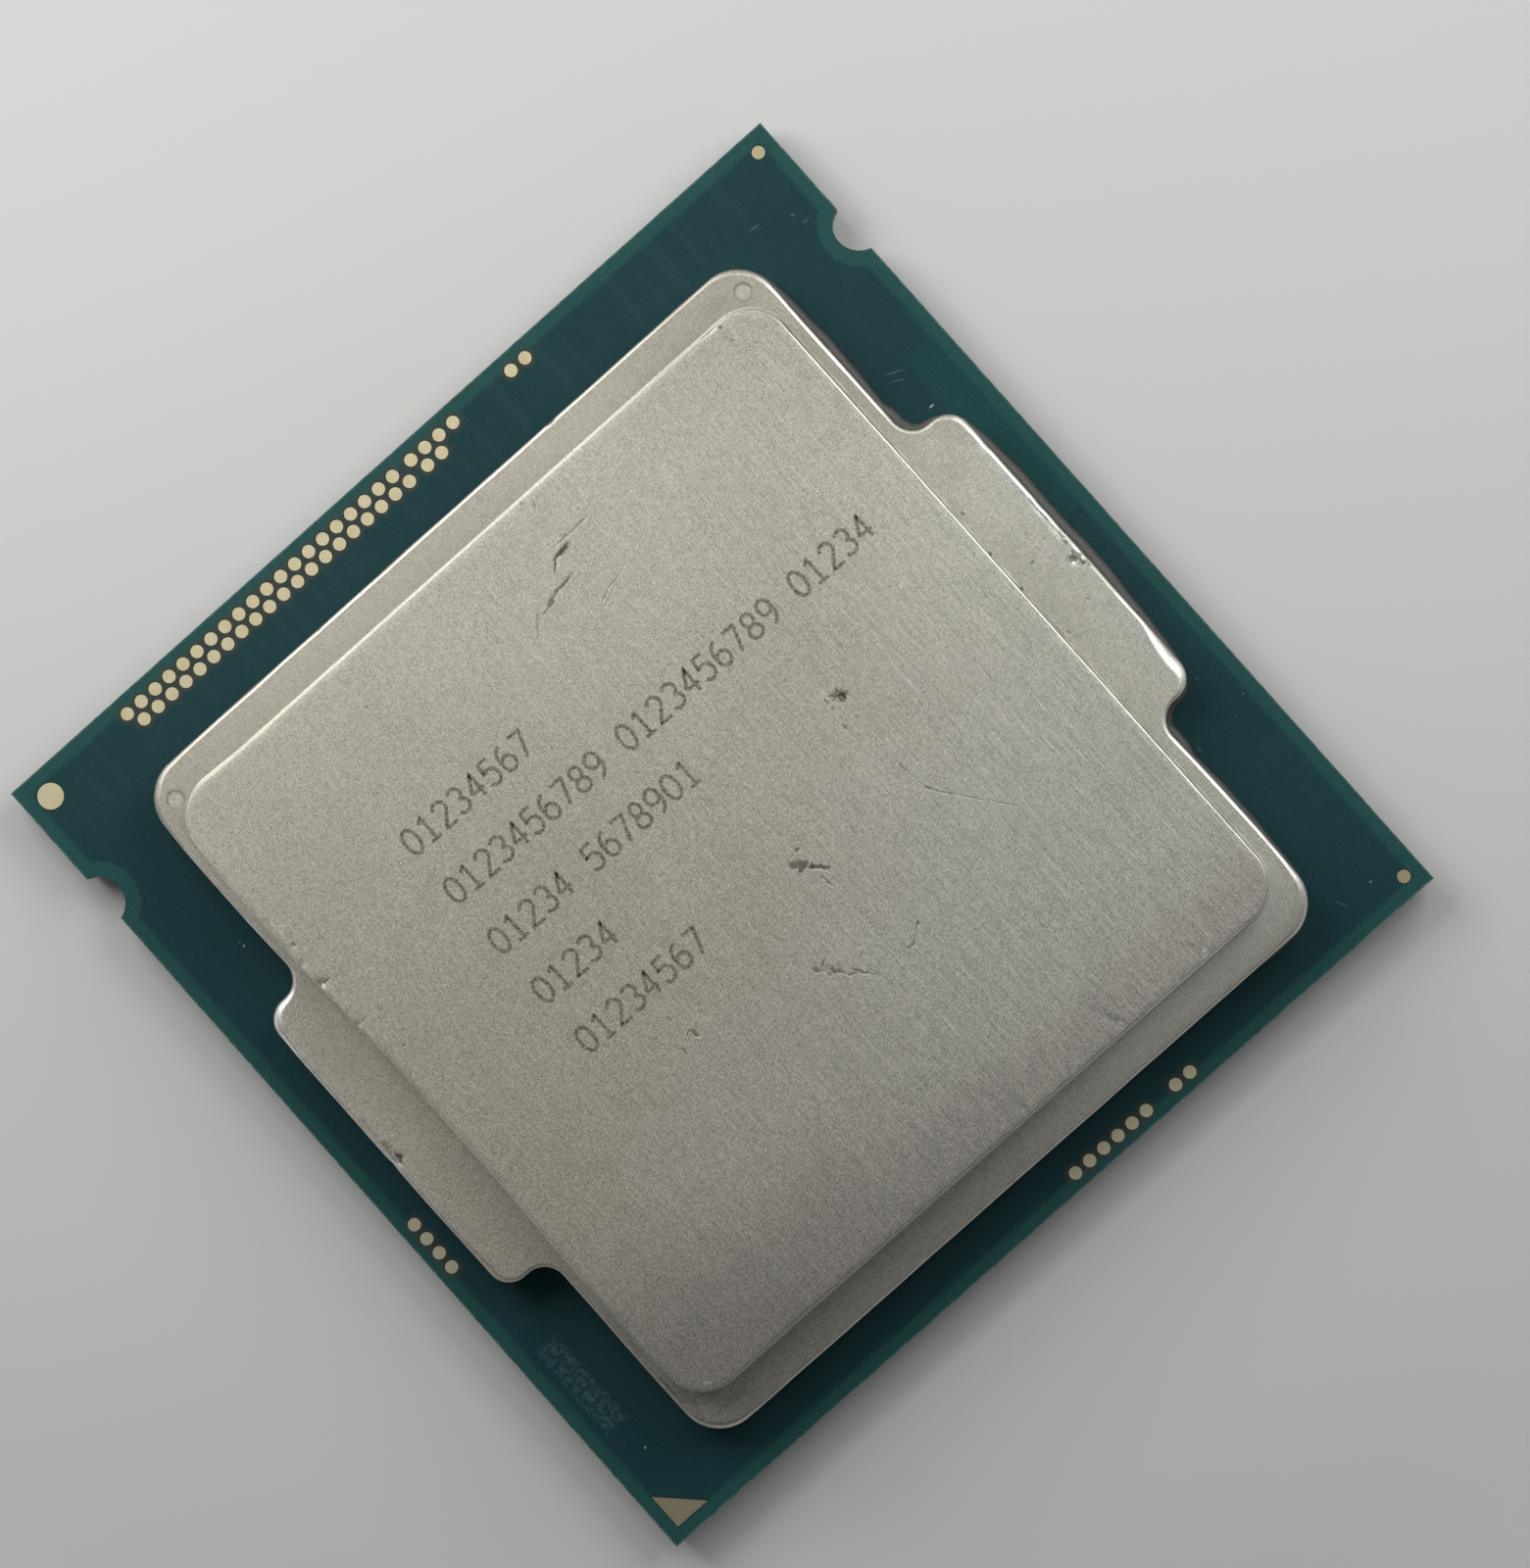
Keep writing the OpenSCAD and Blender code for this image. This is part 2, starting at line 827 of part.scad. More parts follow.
module small_capacitor_solder() {
    color("#b4b6b6")
        two_rows(small_cap_count, small_cap_pitch, small_row_y)
            cap_solder(small_cap_l, small_cap_w, small_end_l);
}

module test_pads() {
    color("#c9a95c")
        two_rows(test_pad_count, test_pad_pitch, test_row_gap / 2)
            translate([0, 0, board_z - land_t])
                cylinder(h = land_t, d = test_pad_d);
}

board();
heat_spreader();
lid_sealant();
silicon_die();
die_underfill();
thermal_paste();
probe_pads_outer_row();
probe_pads_inner_row();
probe_pads_outer_four();
probe_pads_inner_pair();
probe_pads_lone_pair();
left_edge_pads();
front_edge_six_pads();
front_edge_pair_pads();
large_alignment_mark();
small_alignment_marks();
land_one_triangle();
lands_left();
lands_right();
lands_back();
lands_front();
large_capacitor_bodies();
large_capacitor_ends();
large_capacitor_solder();
small_capacitor_bodies();
small_capacitor_ends();
small_capacitor_solder();
test_pads();
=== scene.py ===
"""Central processing unit: the looks of a land-grid processor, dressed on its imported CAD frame.

Everything in Blender is in metres, in the CAD's frame. Shapes are worked out here in millimetres and become
metres when their meshes are made.
"""
import json
import math

import bmesh
import bpy
import numpy as np
from mathutils import Matrix, Vector


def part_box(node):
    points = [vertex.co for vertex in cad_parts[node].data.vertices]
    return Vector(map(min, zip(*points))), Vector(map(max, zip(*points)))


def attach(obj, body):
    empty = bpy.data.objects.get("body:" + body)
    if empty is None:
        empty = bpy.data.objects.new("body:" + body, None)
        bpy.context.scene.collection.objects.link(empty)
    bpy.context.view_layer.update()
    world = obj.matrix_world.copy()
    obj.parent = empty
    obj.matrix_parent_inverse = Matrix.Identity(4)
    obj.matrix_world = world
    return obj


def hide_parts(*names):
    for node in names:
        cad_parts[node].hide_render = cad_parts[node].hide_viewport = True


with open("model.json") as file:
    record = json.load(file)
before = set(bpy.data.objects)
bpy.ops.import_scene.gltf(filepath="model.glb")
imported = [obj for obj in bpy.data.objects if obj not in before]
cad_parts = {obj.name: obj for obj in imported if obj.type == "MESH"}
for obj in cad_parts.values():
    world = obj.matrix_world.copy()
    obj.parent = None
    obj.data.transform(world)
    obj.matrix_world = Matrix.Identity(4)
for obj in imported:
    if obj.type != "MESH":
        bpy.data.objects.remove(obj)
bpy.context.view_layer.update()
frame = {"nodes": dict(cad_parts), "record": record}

MM = 0.001
rng = np.random.default_rng(11)


def box_mm(node):
    """Lowest and highest corners of a CAD node, in millimetres."""
    low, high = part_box(node)
    return np.array(low) / MM, np.array(high) / MM


# Sizes read from the frame
board_low, board_high = box_mm("board")
lid_low, lid_high = box_mm("heat_spreader")
HALF_BOARD = board_high[0]
BOARD_TOP = board_high[2]
BOARD_MIDDLE = (board_low[2] + board_high[2]) / 2
LID_Y = (lid_low[1] + lid_high[1]) / 2
HALF_EARS = lid_high[0]
HALF_LID_L = (lid_high[1] - lid_low[1]) / 2
SEAT = lid_low[2]

# The marks on the lid's top lie this far above the metal, inside the CAD's box
MARK_LIFT = 0.002
LID_TOP = lid_high[2] - 2 * MARK_LIFT

# Sizes of the lid, the sealant and the key notches, as in the part's source, but for a steeper wall
# (WALL_SPREAD) with a smaller radius at its foot (FOOT_R)
EAR_REACH = 2.0
HALF_EAR_L = 6.8
EAR_R = 0.9
EAR_ROOT_R = 0.9
HALF_LID_W = HALF_EARS - EAR_REACH
FLANGE_R = 1.6
FLANGE_TOP = SEAT + 1.55
FLANGE_EDGE_R = 0.15
HALF_TOP_W = 14.3
HALF_TOP_L = 14.575
TOP_R = 1.6
TOP_EDGE_R = 0.08
WALL_SPREAD = 0.06
FOOT_R = 0.15
RIM_W = 3.0
RIM_CHAMFER = 0.1
CAVITY_R = 1.5
CAVITY_TOP = SEAT + 0.75
DIMPLE_R = 0.32
DIMPLE_DEPTH = 0.013
DIMPLE_SLOPE = 0.08
DIMPLE_X = HALF_LID_W - 0.95
DIMPLE_Y = HALF_LID_L - 1.2
BEAD_INSET = 0.2
BEAD_W = 2.0
CLIMB = 0.15
SQUEEZE_REACH = 0.44
HALF_VENT = 1.5
NOTCH_X = HALF_BOARD + 0.25
NOTCH_Y = HALF_BOARD - 5.25


# Outlines: rows of x, y and the outward normal, counter-clockwise round the lid's middle

def line(start, end, normal, count):
    """Points along a straight stretch, without its end."""
    share = np.linspace(0, 1, count, endpoint=False)[:, None]
    places = (1 - share) * np.array(start) + share * np.array(end)
    return np.hstack([places, np.tile(normal, (count, 1))])


def arc(centre, radius, start, end, count, inward=False):
    """Points round an arc, without its end. The metal lies inside it, or outside it with inward."""
    angle = np.radians(np.linspace(start, end, count, endpoint=False))
    away = np.column_stack([np.cos(angle), np.sin(angle)])
    return np.hstack([np.array(centre) + radius * away, -away if inward else away])


def whole_loop(stretches, last):
    """The outline whose quarter between the X and Y axes is made of these stretches and a last point."""
    quarter = np.vstack(stretches + [np.array([last])])
    flip_x = np.array([-1, 1, -1, 1])
    flip_y = np.array([1, -1, 1, -1])
    return np.vstack([
        quarter[:-1],
        (quarter * flip_x)[::-1][:-1],
        (quarter * flip_x * flip_y)[:-1],
        (quarter * flip_y)[::-1][:-1],
    ])


# Points on a quarter of each outline: the ear's side, its corner, its end and its root, the lid's side, the
# lid's corner and the lid's end
COUNTS = (84, 12, 3, 14, 44, 40, 140)


def flange_loop():
    """The outline of the lid's flange with its two ears."""
    ear_x = HALF_EARS - EAR_R
    root_x = HALF_LID_W + EAR_ROOT_R
    root_y = HALF_EAR_L + EAR_ROOT_R
    corner = np.array([HALF_LID_W - FLANGE_R, HALF_LID_L - FLANGE_R])
    return whole_loop([
        line((HALF_EARS, 0), (HALF_EARS, HALF_EAR_L - EAR_R), (1, 0), COUNTS[0]),
        arc((ear_x, HALF_EAR_L - EAR_R), EAR_R, 0, 90, COUNTS[1]),
        line((ear_x, HALF_EAR_L), (root_x, HALF_EAR_L), (0, 1), COUNTS[2]),
        arc((root_x, root_y), EAR_ROOT_R, 270, 180, COUNTS[3], inward=True),
        line((HALF_LID_W, root_y), (HALF_LID_W, corner[1]), (1, 0), COUNTS[4]),
        arc(corner, FLANGE_R, 0, 90, COUNTS[5]),
        line((corner[0], HALF_LID_L), (0, HALF_LID_L), (0, 1), COUNTS[6]),
    ], (0, HALF_LID_L, 0, 1))


def rounded_loop(half_w, half_l, radius):
    """A rounded rectangle with a point for each point of the flange's outline."""
    stops = [0, *(HALF_EAR_L + off for off in (-1.3, -0.6, -0.3, EAR_ROOT_R)), half_l - radius]
    sides = [
        line((half_w, low), (half_w, high), (1, 0), count)
        for low, high, count in zip(stops, stops[1:], COUNTS)
    ]
    return whole_loop(sides + [
        arc((half_w - radius, half_l - radius), radius, 0, 90, COUNTS[5]),
        line((half_w - radius, half_l), (0, half_l), (0, 1), COUNTS[6]),
    ], (0, half_l, 0, 1))


def ring(loop, out, height):
    """An outline moved out along its normals, at a height. Both may change from point to point."""
    places = loop[:, :2] + loop[:, 2:] * np.reshape(out, (-1, 1))
    return np.column_stack([places, np.broadcast_to(height, len(loop))])


def between(first, last, shares):
    """Rings between two rings."""
    return [(1 - share) * first + share * last for share in shares]


def along(loop):
    """Distance along an outline, and its whole length."""
    steps = np.linalg.norm(np.roll(loop[:, :2], -1, axis=0) - loop[:, :2], axis=1)
    return np.concatenate([[0], np.cumsum(steps)[:-1]]), steps.sum()


def swell(loop, places, power=1.0):
    """Sum of smooth swells on an outline, each given as x, y, half its length and its height."""
    distance, whole = along(loop)
    total = np.zeros(len(loop))
    for x, y, half_length, height in places:
        nearest = np.argmin(np.hypot(loop[:, 0] - x, loop[:, 1] - y))
        off = np.abs(distance - distance[nearest])
        off = np.minimum(off, whole - off) / half_length
        total += height * np.cos(np.minimum(off, 1) * math.pi / 2) ** power
    return total


def ripple(loop, height, waves):
    """Small seeded unevenness along an outline."""
    distance, whole = along(loop)
    turn = distance / whole * 2 * math.pi
    total = sum(np.sin(wave * turn + rng.uniform(0, 2 * math.pi)) for wave in waves)
    return height * total / len(waves)


def fillet(before, corner, after, radius, steps=7):
    """Points of a profile round the corner between two straight lines."""
    corner = np.array(corner, float)
    back, ahead = ((np.array(point) - corner) / math.dist(point, corner) for point in (before, after))
    half = math.acos(back @ ahead) / 2
    middle = corner + (back + ahead) / np.linalg.norm(back + ahead) * radius / math.sin(half)
    first, last = (corner + side * radius / math.tan(half) - middle for side in (back, ahead))
    turn = math.pi - 2 * half
    return [
        middle + (math.sin((1 - t) * turn) * first + math.sin(t * turn) * last) / math.sin(turn)
        for t in np.linspace(0, 1, steps)
    ]


# Meshes

def make_piece(name, points, faces, material, nodes=(), sharp=40, smooth=True):
    """A piece of the object from points in millimetres, riding on the frame's only body."""
    mesh = bpy.data.meshes.new(name)
    mesh.from_pydata((np.asarray(points) * MM).tolist(), [], faces)
    shape = bmesh.new()
    shape.from_mesh(mesh)
    bmesh.ops.recalc_face_normals(shape, faces=shape.faces)
    shape.to_mesh(mesh)
    shape.free()
    if smooth:
        mesh.shade_smooth()
        mesh.set_sharp_from_angle(angle=math.radians(sharp))
    piece = bpy.data.objects.new(name, mesh)
    bpy.context.collection.objects.link(piece)
    mesh.materials.append(material)
    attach(piece, "root")
    if nodes:
        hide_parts(*nodes)
    return piece


def carry(piece, **amounts):
    """Lets a piece's points carry a number each, which its material reads by name."""
    for name, values in amounts.items():
        layer = piece.data.attributes.new(name, "FLOAT", "POINT")
        layer.data.foreach_set("value", np.ascontiguousarray(values, dtype=np.float32))


def skin(count, rings, first=0, closed=False, whole=True):
    """Four-sided faces between neighbouring rings of so many points, from the first point's number on.

    Closed also joins the last ring to the first. Rings that aren't whole are open strips.
    """
    faces = []
    for i in range(rings if closed else rings - 1):
        low = first + i * count
        high = first + (i + 1) % rings * count
        faces += [
            (low + k, low + (k + 1) % count, high + (k + 1) % count, high + k)
            for k in range(count if whole else count - 1)
        ]
    return faces


def fan(count, first, middle):
    """Three-sided faces from a ring to its middle point."""
    return [(first + k, first + (k + 1) % count, middle) for k in range(count)]


def solids_of(node):
    """Boxes of the separate solids of a CAD node, in millimetres."""
    shape = bmesh.new()
    shape.from_mesh(frame["nodes"][node].data)
    bmesh.ops.remove_doubles(shape, verts=shape.verts, dist=1e-8)
    seen = set()
    boxes = []
    for vertex in shape.verts:
        if vertex in seen:
            continue
        solid = [vertex]
        seen.add(vertex)
        for member in solid:
            for edge in member.link_edges:
                other = edge.other_vert(member)
                if other not in seen:
                    seen.add(other)
                    solid.append(other)
        places = np.array([v.co for v in solid]) / MM
        boxes.append((places.min(axis=0), places.max(axis=0)))
    shape.free()
    return boxes


# Materials

class Number:
    """A number that a node gives. Arithmetic with it adds nodes to its tree."""

    def __init__(self, tree, socket):
        self.tree = tree
        self.socket = socket

    def __add__(self, other):
        return self.tree.math("ADD", self, other)

    def __sub__(self, other):
        return self.tree.math("SUBTRACT", self, other)

    def __mul__(self, other):
        return self.tree.math("MULTIPLY", self, other)

    def __abs__(self):
        return self.tree.math("ABSOLUTE", self)


class Tree:
    """A node tree, with short calls for the nodes that it needs."""

    def __init__(self, owner):
        owner.use_nodes = True
        self.nodes = owner.node_tree.nodes
        self.links = owner.node_tree.links

    def feed(self, socket, value):
        """Links a value to a socket, or sets a constant on the socket itself."""
        if isinstance(value, Number):
            value = value.socket
        if isinstance(value, bpy.types.NodeSocket):
            self.links.new(value, socket)
        elif socket.type == "RGBA":
            socket.default_value = (*value, 1)
        else:
            socket.default_value = value

    def node(self, kind, inputs=(), **settings):
        """The outputs of a new node. Its inputs are values in order, or by name or number."""
        node = self.nodes.new("ShaderNode" + kind)
        for name, value in settings.items():
            setattr(node, name, value)
        for key, value in inputs.items() if isinstance(inputs, dict) else enumerate(inputs):
            self.feed(node.inputs[key], value)
        return node.outputs

    def math(self, operation, *values):
        """The number that a Math node gives."""
        return Number(self, self.node("Math", values, operation=operation)[0])

    def most(self, first, second):
        """The larger of two numbers."""
        return self.math("MAXIMUM", first, second)

    def vector(self, operation, *values):
        """The vector or, where the operation gives one, the number."""
        outputs = self.node("VectorMath", values, operation=operation)
        if operation in ("LENGTH", "DOT_PRODUCT"):
            return Number(self, outputs["Value"])
        return outputs["Vector"]

    def split(self, vector):
        """A vector's three numbers."""
        return [Number(self, output) for output in self.node("SeparateXYZ", [vector])]

    def ramp(self, value, low, high, to_low=0.0, to_high=1.0):
        """A smooth step of the value from low to high."""
        inputs = (value, low, high, to_low, to_high)
        return Number(self, self.node("MapRange", inputs, interpolation_type="SMOOTHSTEP")[0])

    def mix(self, share, first, second):
        """A colour between two, by its share of the second."""
        return self.node("Mix", {0: share, 6: first, 7: second}, data_type="RGBA")[2]

    def scaled(self, colour, factor):
        """A colour or vector times a factor."""
        return self.node("VectorMath", {0: colour, "Scale": factor}, operation="SCALE")[0]


class Look(Tree):
    """A material and its nodes, which work in millimetres."""

    def __init__(self, name):
        self.material = bpy.data.materials.new(name)
        super().__init__(self.material)
        self.shader = self.nodes["Principled BSDF"]
        self.place = self.vector("MULTIPLY", self.node("TexCoord")["Object"], (1 / MM, 1 / MM, 1 / MM))

    def set(self, **values):
        """Feeds the shader's sockets by name."""
        for name, value in values.items():
            self.feed(self.shader.inputs[name.replace("_", " ")], value)

    def bump(self, height, depth_mm):
        """Relief whose full height is the given depth."""
        inputs = {"Strength": 1.0, "Distance": depth_mm * MM, "Height": height}
        self.set(Normal=self.node("Bump", inputs)[0])

    def noise(self, scale, detail, roughness, stretch=None):
        """Noise over the place, or over the place times a factor along each axis."""
        place = self.vector("MULTIPLY", self.place, stretch) if stretch else self.place
        inputs = {"Vector": place, "Scale": scale, "Detail": detail, "Roughness": roughness}
        return Number(self, self.node("TexNoise", inputs)["Fac"])

    def cells(self, scale):
        """Distance from the middle of the nearest of some scattered cells."""
        return Number(self, self.node("TexVoronoi", {"Vector": self.place, "Scale": scale})["Distance"])

    def attribute(self, name):
        """A number that the mesh carries at its points, or 0 where it carries none."""
        return Number(self, self.node("Attribute", attribute_name=name)["Fac"])

    def patch(self, x, y, half_w, half_l, soft):
        """A rectangle with soft edges."""
        at_x, at_y, _ = self.split(self.place)
        return self.ramp(self.most(abs(at_x - x) - half_w, abs(at_y - y) - half_l), soft, -soft)

    def strokes(self, strokes, ragged):
        """Straight marks with ragged outlines, each given as two ends, its width and its strength."""
        noise = self.node("TexNoise", {"Vector": self.place, "Scale": 5.0})["Color"]
        uneven = self.scaled(self.vector("SUBTRACT", noise, (0.5, 0.5, 0.5)), ragged)
        place = self.vector("ADD", self.place, uneven)
        total = 0.0
        for x0, y0, x1, y1, width, strength in strokes:
            middle = ((x0 + x1) / 2, (y0 + y1) / 2, 0)
            turn = (0, 0, math.atan2(y1 - y0, x1 - x0))
            half_sizes = ((math.hypot(x1 - x0, y1 - y0) + width) / 2, width / 2, 1000)
            seen = self.node("Mapping", (place, middle, turn, half_sizes), vector_type="TEXTURE")[0]
            total = self.most(self.ramp(self.vector("LENGTH", seen), 1.0, 0.5, 0.0, strength), total)
        return total


# Wear on the lid's top, as straight strokes: two ends, width and darkness
DARK_WEAR = [
    # Crescent-shaped scratches near the back
    (2.08, 11.1, 2.46, 11.48, 0.1, 0.85),
    (2.42, 11.46, 3.12, 11.56, 0.17, 0.9),
    (2.7, 11.28, 3.14, 11.46, 0.1, 0.35),
    (2.7, 11.79, 4.37, 11.84, 0.08, 0.45),
    (1.02, 10.25, 1.5, 10.5, 0.18, 0.65),
    (1.42, 10.5, 2.42, 10.6, 0.14, 0.7),
    (0.78, 10.22, 0.86, 10.26, 0.16, 0.5),
    (0.02, 9.74, 0.6, 10.36, 0.13, 0.38),
    (2.65, 9.12, 3.18, 9.36, 0.07, 0.5),
    (3.15, 9.35, 3.75, 9.46, 0.07, 0.45),
    (2.6, 8.97, 3.4, 9.29, 0.08, 0.3),
    # Pit with its specks right of the middle
    (6.74, 0.92, 7.0, 0.72, 0.4, 0.75),
    (6.94, 0.86, 6.96, 0.74, 0.22, 1.0),
    (6.33, 1.02, 6.33, 0.9, 0.13, 0.5),
    (6.31, 0.64, 6.31, 0.62, 0.14, 0.5),
    (6.2, -0.1, 6.22, -0.22, 0.11, 0.65),
    (6.78, -0.06, 6.78, -0.22, 0.07, 0.45),
    (7.23, 1.75, 7.25, 1.75, 0.09, 0.5),
    (7.28, 1.37, 7.29, 1.35, 0.07, 0.4),
    (5.2, -0.1, 5.42, -0.14, 0.08, 0.3),
    (6.39, -0.75, 6.42, -0.75, 0.07, 0.3),
    (6.63, -1.35, 6.63, -1.52, 0.06, 0.3),
    # Long hair-thin scratch below it
    (6.8, -2.42, 6.82, -2.84, 0.08, 0.6),
    (6.82, -2.84, 6.98, -3.72, 0.05, 0.25),
    (6.98, -3.74, 7.08, -3.98, 0.09, 0.7),
    (7.07, -3.98, 7.72, -4.82, 0.06, 0.5),
    (7.72, -4.82, 8.36, -5.66, 0.06, 0.5),
    (8.36, -5.66, 9.06, -6.54, 0.05, 0.45),
    # Corrosion in front of the middle
    (1.92, -2.34, 1.98, -2.38, 0.15, 0.75),
    (1.45, -2.66, 1.74, -2.88, 0.27, 0.75),
    (1.52, -3.0, 1.84, -2.95, 0.27, 0.8),
    (1.92, -3.15, 2.08, -3.28, 0.18, 0.9),
    (2.12, -3.3, 2.38, -3.58, 0.22, 0.85),
    (1.98, -3.68, 2.06, -4.22, 0.11, 0.7),
    (2.1, -2.06, 2.36, -2.28, 0.07, 0.25),
    (-0.48, -6.04, -0.38, -6.18, 0.2, 0.65),
    (-0.2, -6.1, 0.05, -6.0, 0.12, 0.65),
    (-0.16, -6.24, -0.12, -6.3, 0.3, 0.35),
    (-0.2, -6.52, -0.16, -6.55, 0.14, 0.55),
    (0.0, -6.45, 0.24, -6.82, 0.16, 0.7),
    (0.34, -7.0, 0.56, -7.16, 0.14, 0.6),
    (0.6, -7.0, 0.94, -7.48, 0.13, 0.75),
    (1.13, -7.64, 1.15, -7.66, 0.09, 0.5),
    (1.09, -6.82, 1.24, -6.7, 0.07, 0.5),
    (1.24, -6.68, 1.26, -6.84, 0.07, 0.5),
    (2.62, -7.73, 2.96, -7.68, 0.13, 0.6),
    (2.98, -7.68, 3.21, -7.46, 0.06, 0.4),
    (3.21, -7.46, 3.42, -7.3, 0.08, 0.6),
    (3.43, -7.28, 3.46, -7.3, 0.15, 0.85),
    # Nicks along the left edge of the top
    (-14.34, 5.66, -14.3, 5.5, 0.14, 0.8),
    (-14.32, 5.52, -14.0, 5.48, 0.1, 0.75),
    (-14.16, 7.32, -14.1, 7.26, 0.14, 0.6),
    (-14.3, 8.9, -14.26, 8.9, 0.1, 0.6),
    (-14.1, 3.55, -14.06, 3.55, 0.11, 0.6),
    (-13.6, 1.85, -13.55, 1.85, 0.09, 0.5),
    # Single specks and short scratches
    (12.52, 13.75, 12.56, 13.7, 0.14, 0.6),
    (12.5, 13.1, 12.52, 13.1, 0.1, 0.5),
    (-13.0, -2.05, -12.97, -2.07, 0.13, 0.55),
    (-12.2, -4.6, -12.15, -4.6, 0.11, 0.4),
    (-6.4, 12.0, -6.37, 12.0, 0.1, 0.55),
    (-5.56, -4.77, -5.4, -4.66, 0.09, 0.75),
    (-5.39, -4.66, -5.28, -4.74, 0.09, 0.65),
    (-5.29, -4.76, -5.25, -5.05, 0.12, 0.7),
    (-6.14, -4.93, -6.03, -4.98, 0.08, 0.5),
    (-6.02, -5.0, -5.98, -5.26, 0.12, 0.55),
    (-5.66, -3.78, -5.63, -3.94, 0.1, 0.45),
    (3.22, 13.44, 2.94, 13.18, 0.05, 0.35),
    (2.82, 13.78, 2.8, 13.8, 0.1, 0.4),
    (8.44, 13.62, 8.48, 13.6, 0.07, 0.35),
    (10.7, -13.2, 10.74, -13.2, 0.1, 0.35),
    (3.21, 13.53, 3.0, 13.21, 0.05, 0.45),
    (2.83, 13.85, 2.81, 13.83, 0.09, 0.5),
    # Fine specks in the back right corner and along the right edge
    (13.1, 12.45, 13.12, 12.44, 0.08, 0.5),
    (12.67, 12.45, 12.69, 12.44, 0.08, 0.45),
    (12.78, 11.68, 12.8, 11.64, 0.07, 0.55),
    (12.44, 11.97, 12.45, 11.96, 0.08, 0.4),
    (12.57, 11.04, 12.59, 11.03, 0.08, 0.4),
    (12.74, 10.86, 12.67, 10.42, 0.05, 0.6),
    (12.98, 10.34, 12.99, 10.33, 0.07, 0.35),
    (11.99, 10.85, 11.86, 10.7, 0.05, 0.35),
    (13.67, 10.17, 13.68, 10.16, 0.08, 0.5),
    (13.57, 10.57, 13.58, 10.56, 0.07, 0.35),
    (13.16, -0.04, 13.17, -0.06, 0.08, 0.35),
    (4.1, -15.25, 4.14, -15.25, 0.12, 0.5),
    (9.4, 4.3, 9.5, 4.3, 0.05, 0.35),
]
# Bright bare metal beside the deepest scratch, and where the left edge was scraped
BRIGHT_WEAR = [
    (2.24, 11.16, 2.6, 11.36, 0.06, 0.5),
    (-14.3, 5.38, -14.27, 4.85, 0.12, 0.8),
    (-14.18, 3.4, -14.18, 2.9, 0.05, 0.5),
    (-14.22, 8.5, -14.22, 7.8, 0.05, 0.4),
    (-14.22, 7.16, -14.24, 7.04, 0.08, 0.6),
    (-14.26, 6.62, -14.25, 6.4, 0.06, 0.5),
    # Nicks along the front edge of the top, painted glints at two specks, and the top's front left corner
    (6.54, -14.8, 6.62, -14.92, 0.1, 0.7),
    (10.56, -14.9, 10.64, -14.94, 0.09, 0.7),
    (1.74, -14.88, 1.82, -14.92, 0.08, 0.5),
    (-5.22, -5.1, -5.2, -5.14, 0.07, 0.5),
    (8.24, 13.68, 8.32, 13.7, 0.05, 0.4),
    (-13.55, -14.66, -13.3, -14.8, 0.07, 0.35),
]

# The metal's colour under painted shade, and its colour where stains, scratches, the laser and painted
# shade darken it
SHADED_METAL = (0.330, 0.314, 0.289)
DARKENED = (0.062, 0.056, 0.044)


def lid_metal(name, engraved=False):
    """Worn nickel plate with a fine grain along Y, or the same with the laser's dark strokes on it."""
    look = Look(name)
    x, y, z = look.split(look.place)
    fine = look.noise(16.0, 2.0, 0.8)
    coarse = look.noise(3.2, 3.0, 0.6)
    cloud = look.noise(0.16, 2.0, 0.5)
    # The grain shows most towards the right and the front, and less on the flange
    grain_share = look.ramp(x - y, -20.0, 20.0, 0.42, 1.0)
    grain_share *= look.ramp(z, FLANGE_TOP + 0.4, LID_TOP - 0.3, 0.5, 1.0)
    grain = (look.noise(1.0, 2.0, 0.6, (26, 0.8, 26)) - 0.5) * grain_share
    streaks = look.ramp(look.noise(1.0, 0.0, 0.5, (25, 0.6, 25)), 0.66, 0.80) * grain_share
    tone = grain * 0.72 + 1.0 + streaks * 0.20
    tone += (fine - 0.5) * 1.64 + (coarse - 0.5) * 0.12 + (cloud - 0.5) * 0.16
    # Warmer at the back left, and cleaner towards the front right
    clean = look.ramp(cloud * 12.0 + (x - y), -6.0, 24.0)
    metal = look.mix(clean, (0.456, 0.438, 0.380), (0.480, 0.474, 0.428))
    # Painted shade in the front left corner, half as much on the flange, and along the top's front edge
    shaded_corner = look.ramp(x * 0.3 + y, -10.5, -18.5)
    shaded_corner *= look.ramp(z, FLANGE_TOP + 0.2, LID_TOP - 0.2, 0.5, 1.0)
    metal = look.mix(shaded_corner, metal, SHADED_METAL)
    margin = look.ramp(y, -11.8, -14.5, 0.0, 0.42) * look.ramp(x, -6.0, 1.0)
    metal = look.mix(margin * look.ramp(z, FLANGE_TOP + 0.2, LID_TOP - 0.2), metal, SHADED_METAL)
    # A little painted shade in the back right corner
    metal = look.mix(look.ramp(x + y, 19.0, 27.0, 0.0, 0.85), metal, (0.385, 0.370, 0.320))
    if engraved:
        dark = look.ramp(look.noise(9.0, 2.0, 0.6), 0.36, 0.64, 0.80, 0.46)
    else:
        dark = look.attribute("dark_wear") * look.ramp(fine, 0.32, 0.5, 0.55, 1.0)
    bright = look.attribute("bright_wear")
    # The dark marks carry painted shade as well as stains and scratches, and the bright ones painted
    # highlights as well as wear
    colour = look.mix(dark, look.scaled(metal, tone), DARKENED)
    colour = look.mix(bright, colour, (0.92, 0.91, 0.87))
    roughness = (fine - 0.5) * 0.25 + 0.52 + dark * 0.25 + bright * -0.16
    look.set(Base_Color=colour, Roughness=roughness, Metallic=1.0)
    look.bump(grain * 0.8 + fine * 0.7 + coarse * 0.6 + dark * -4.0, 0.0035)
    return look.material


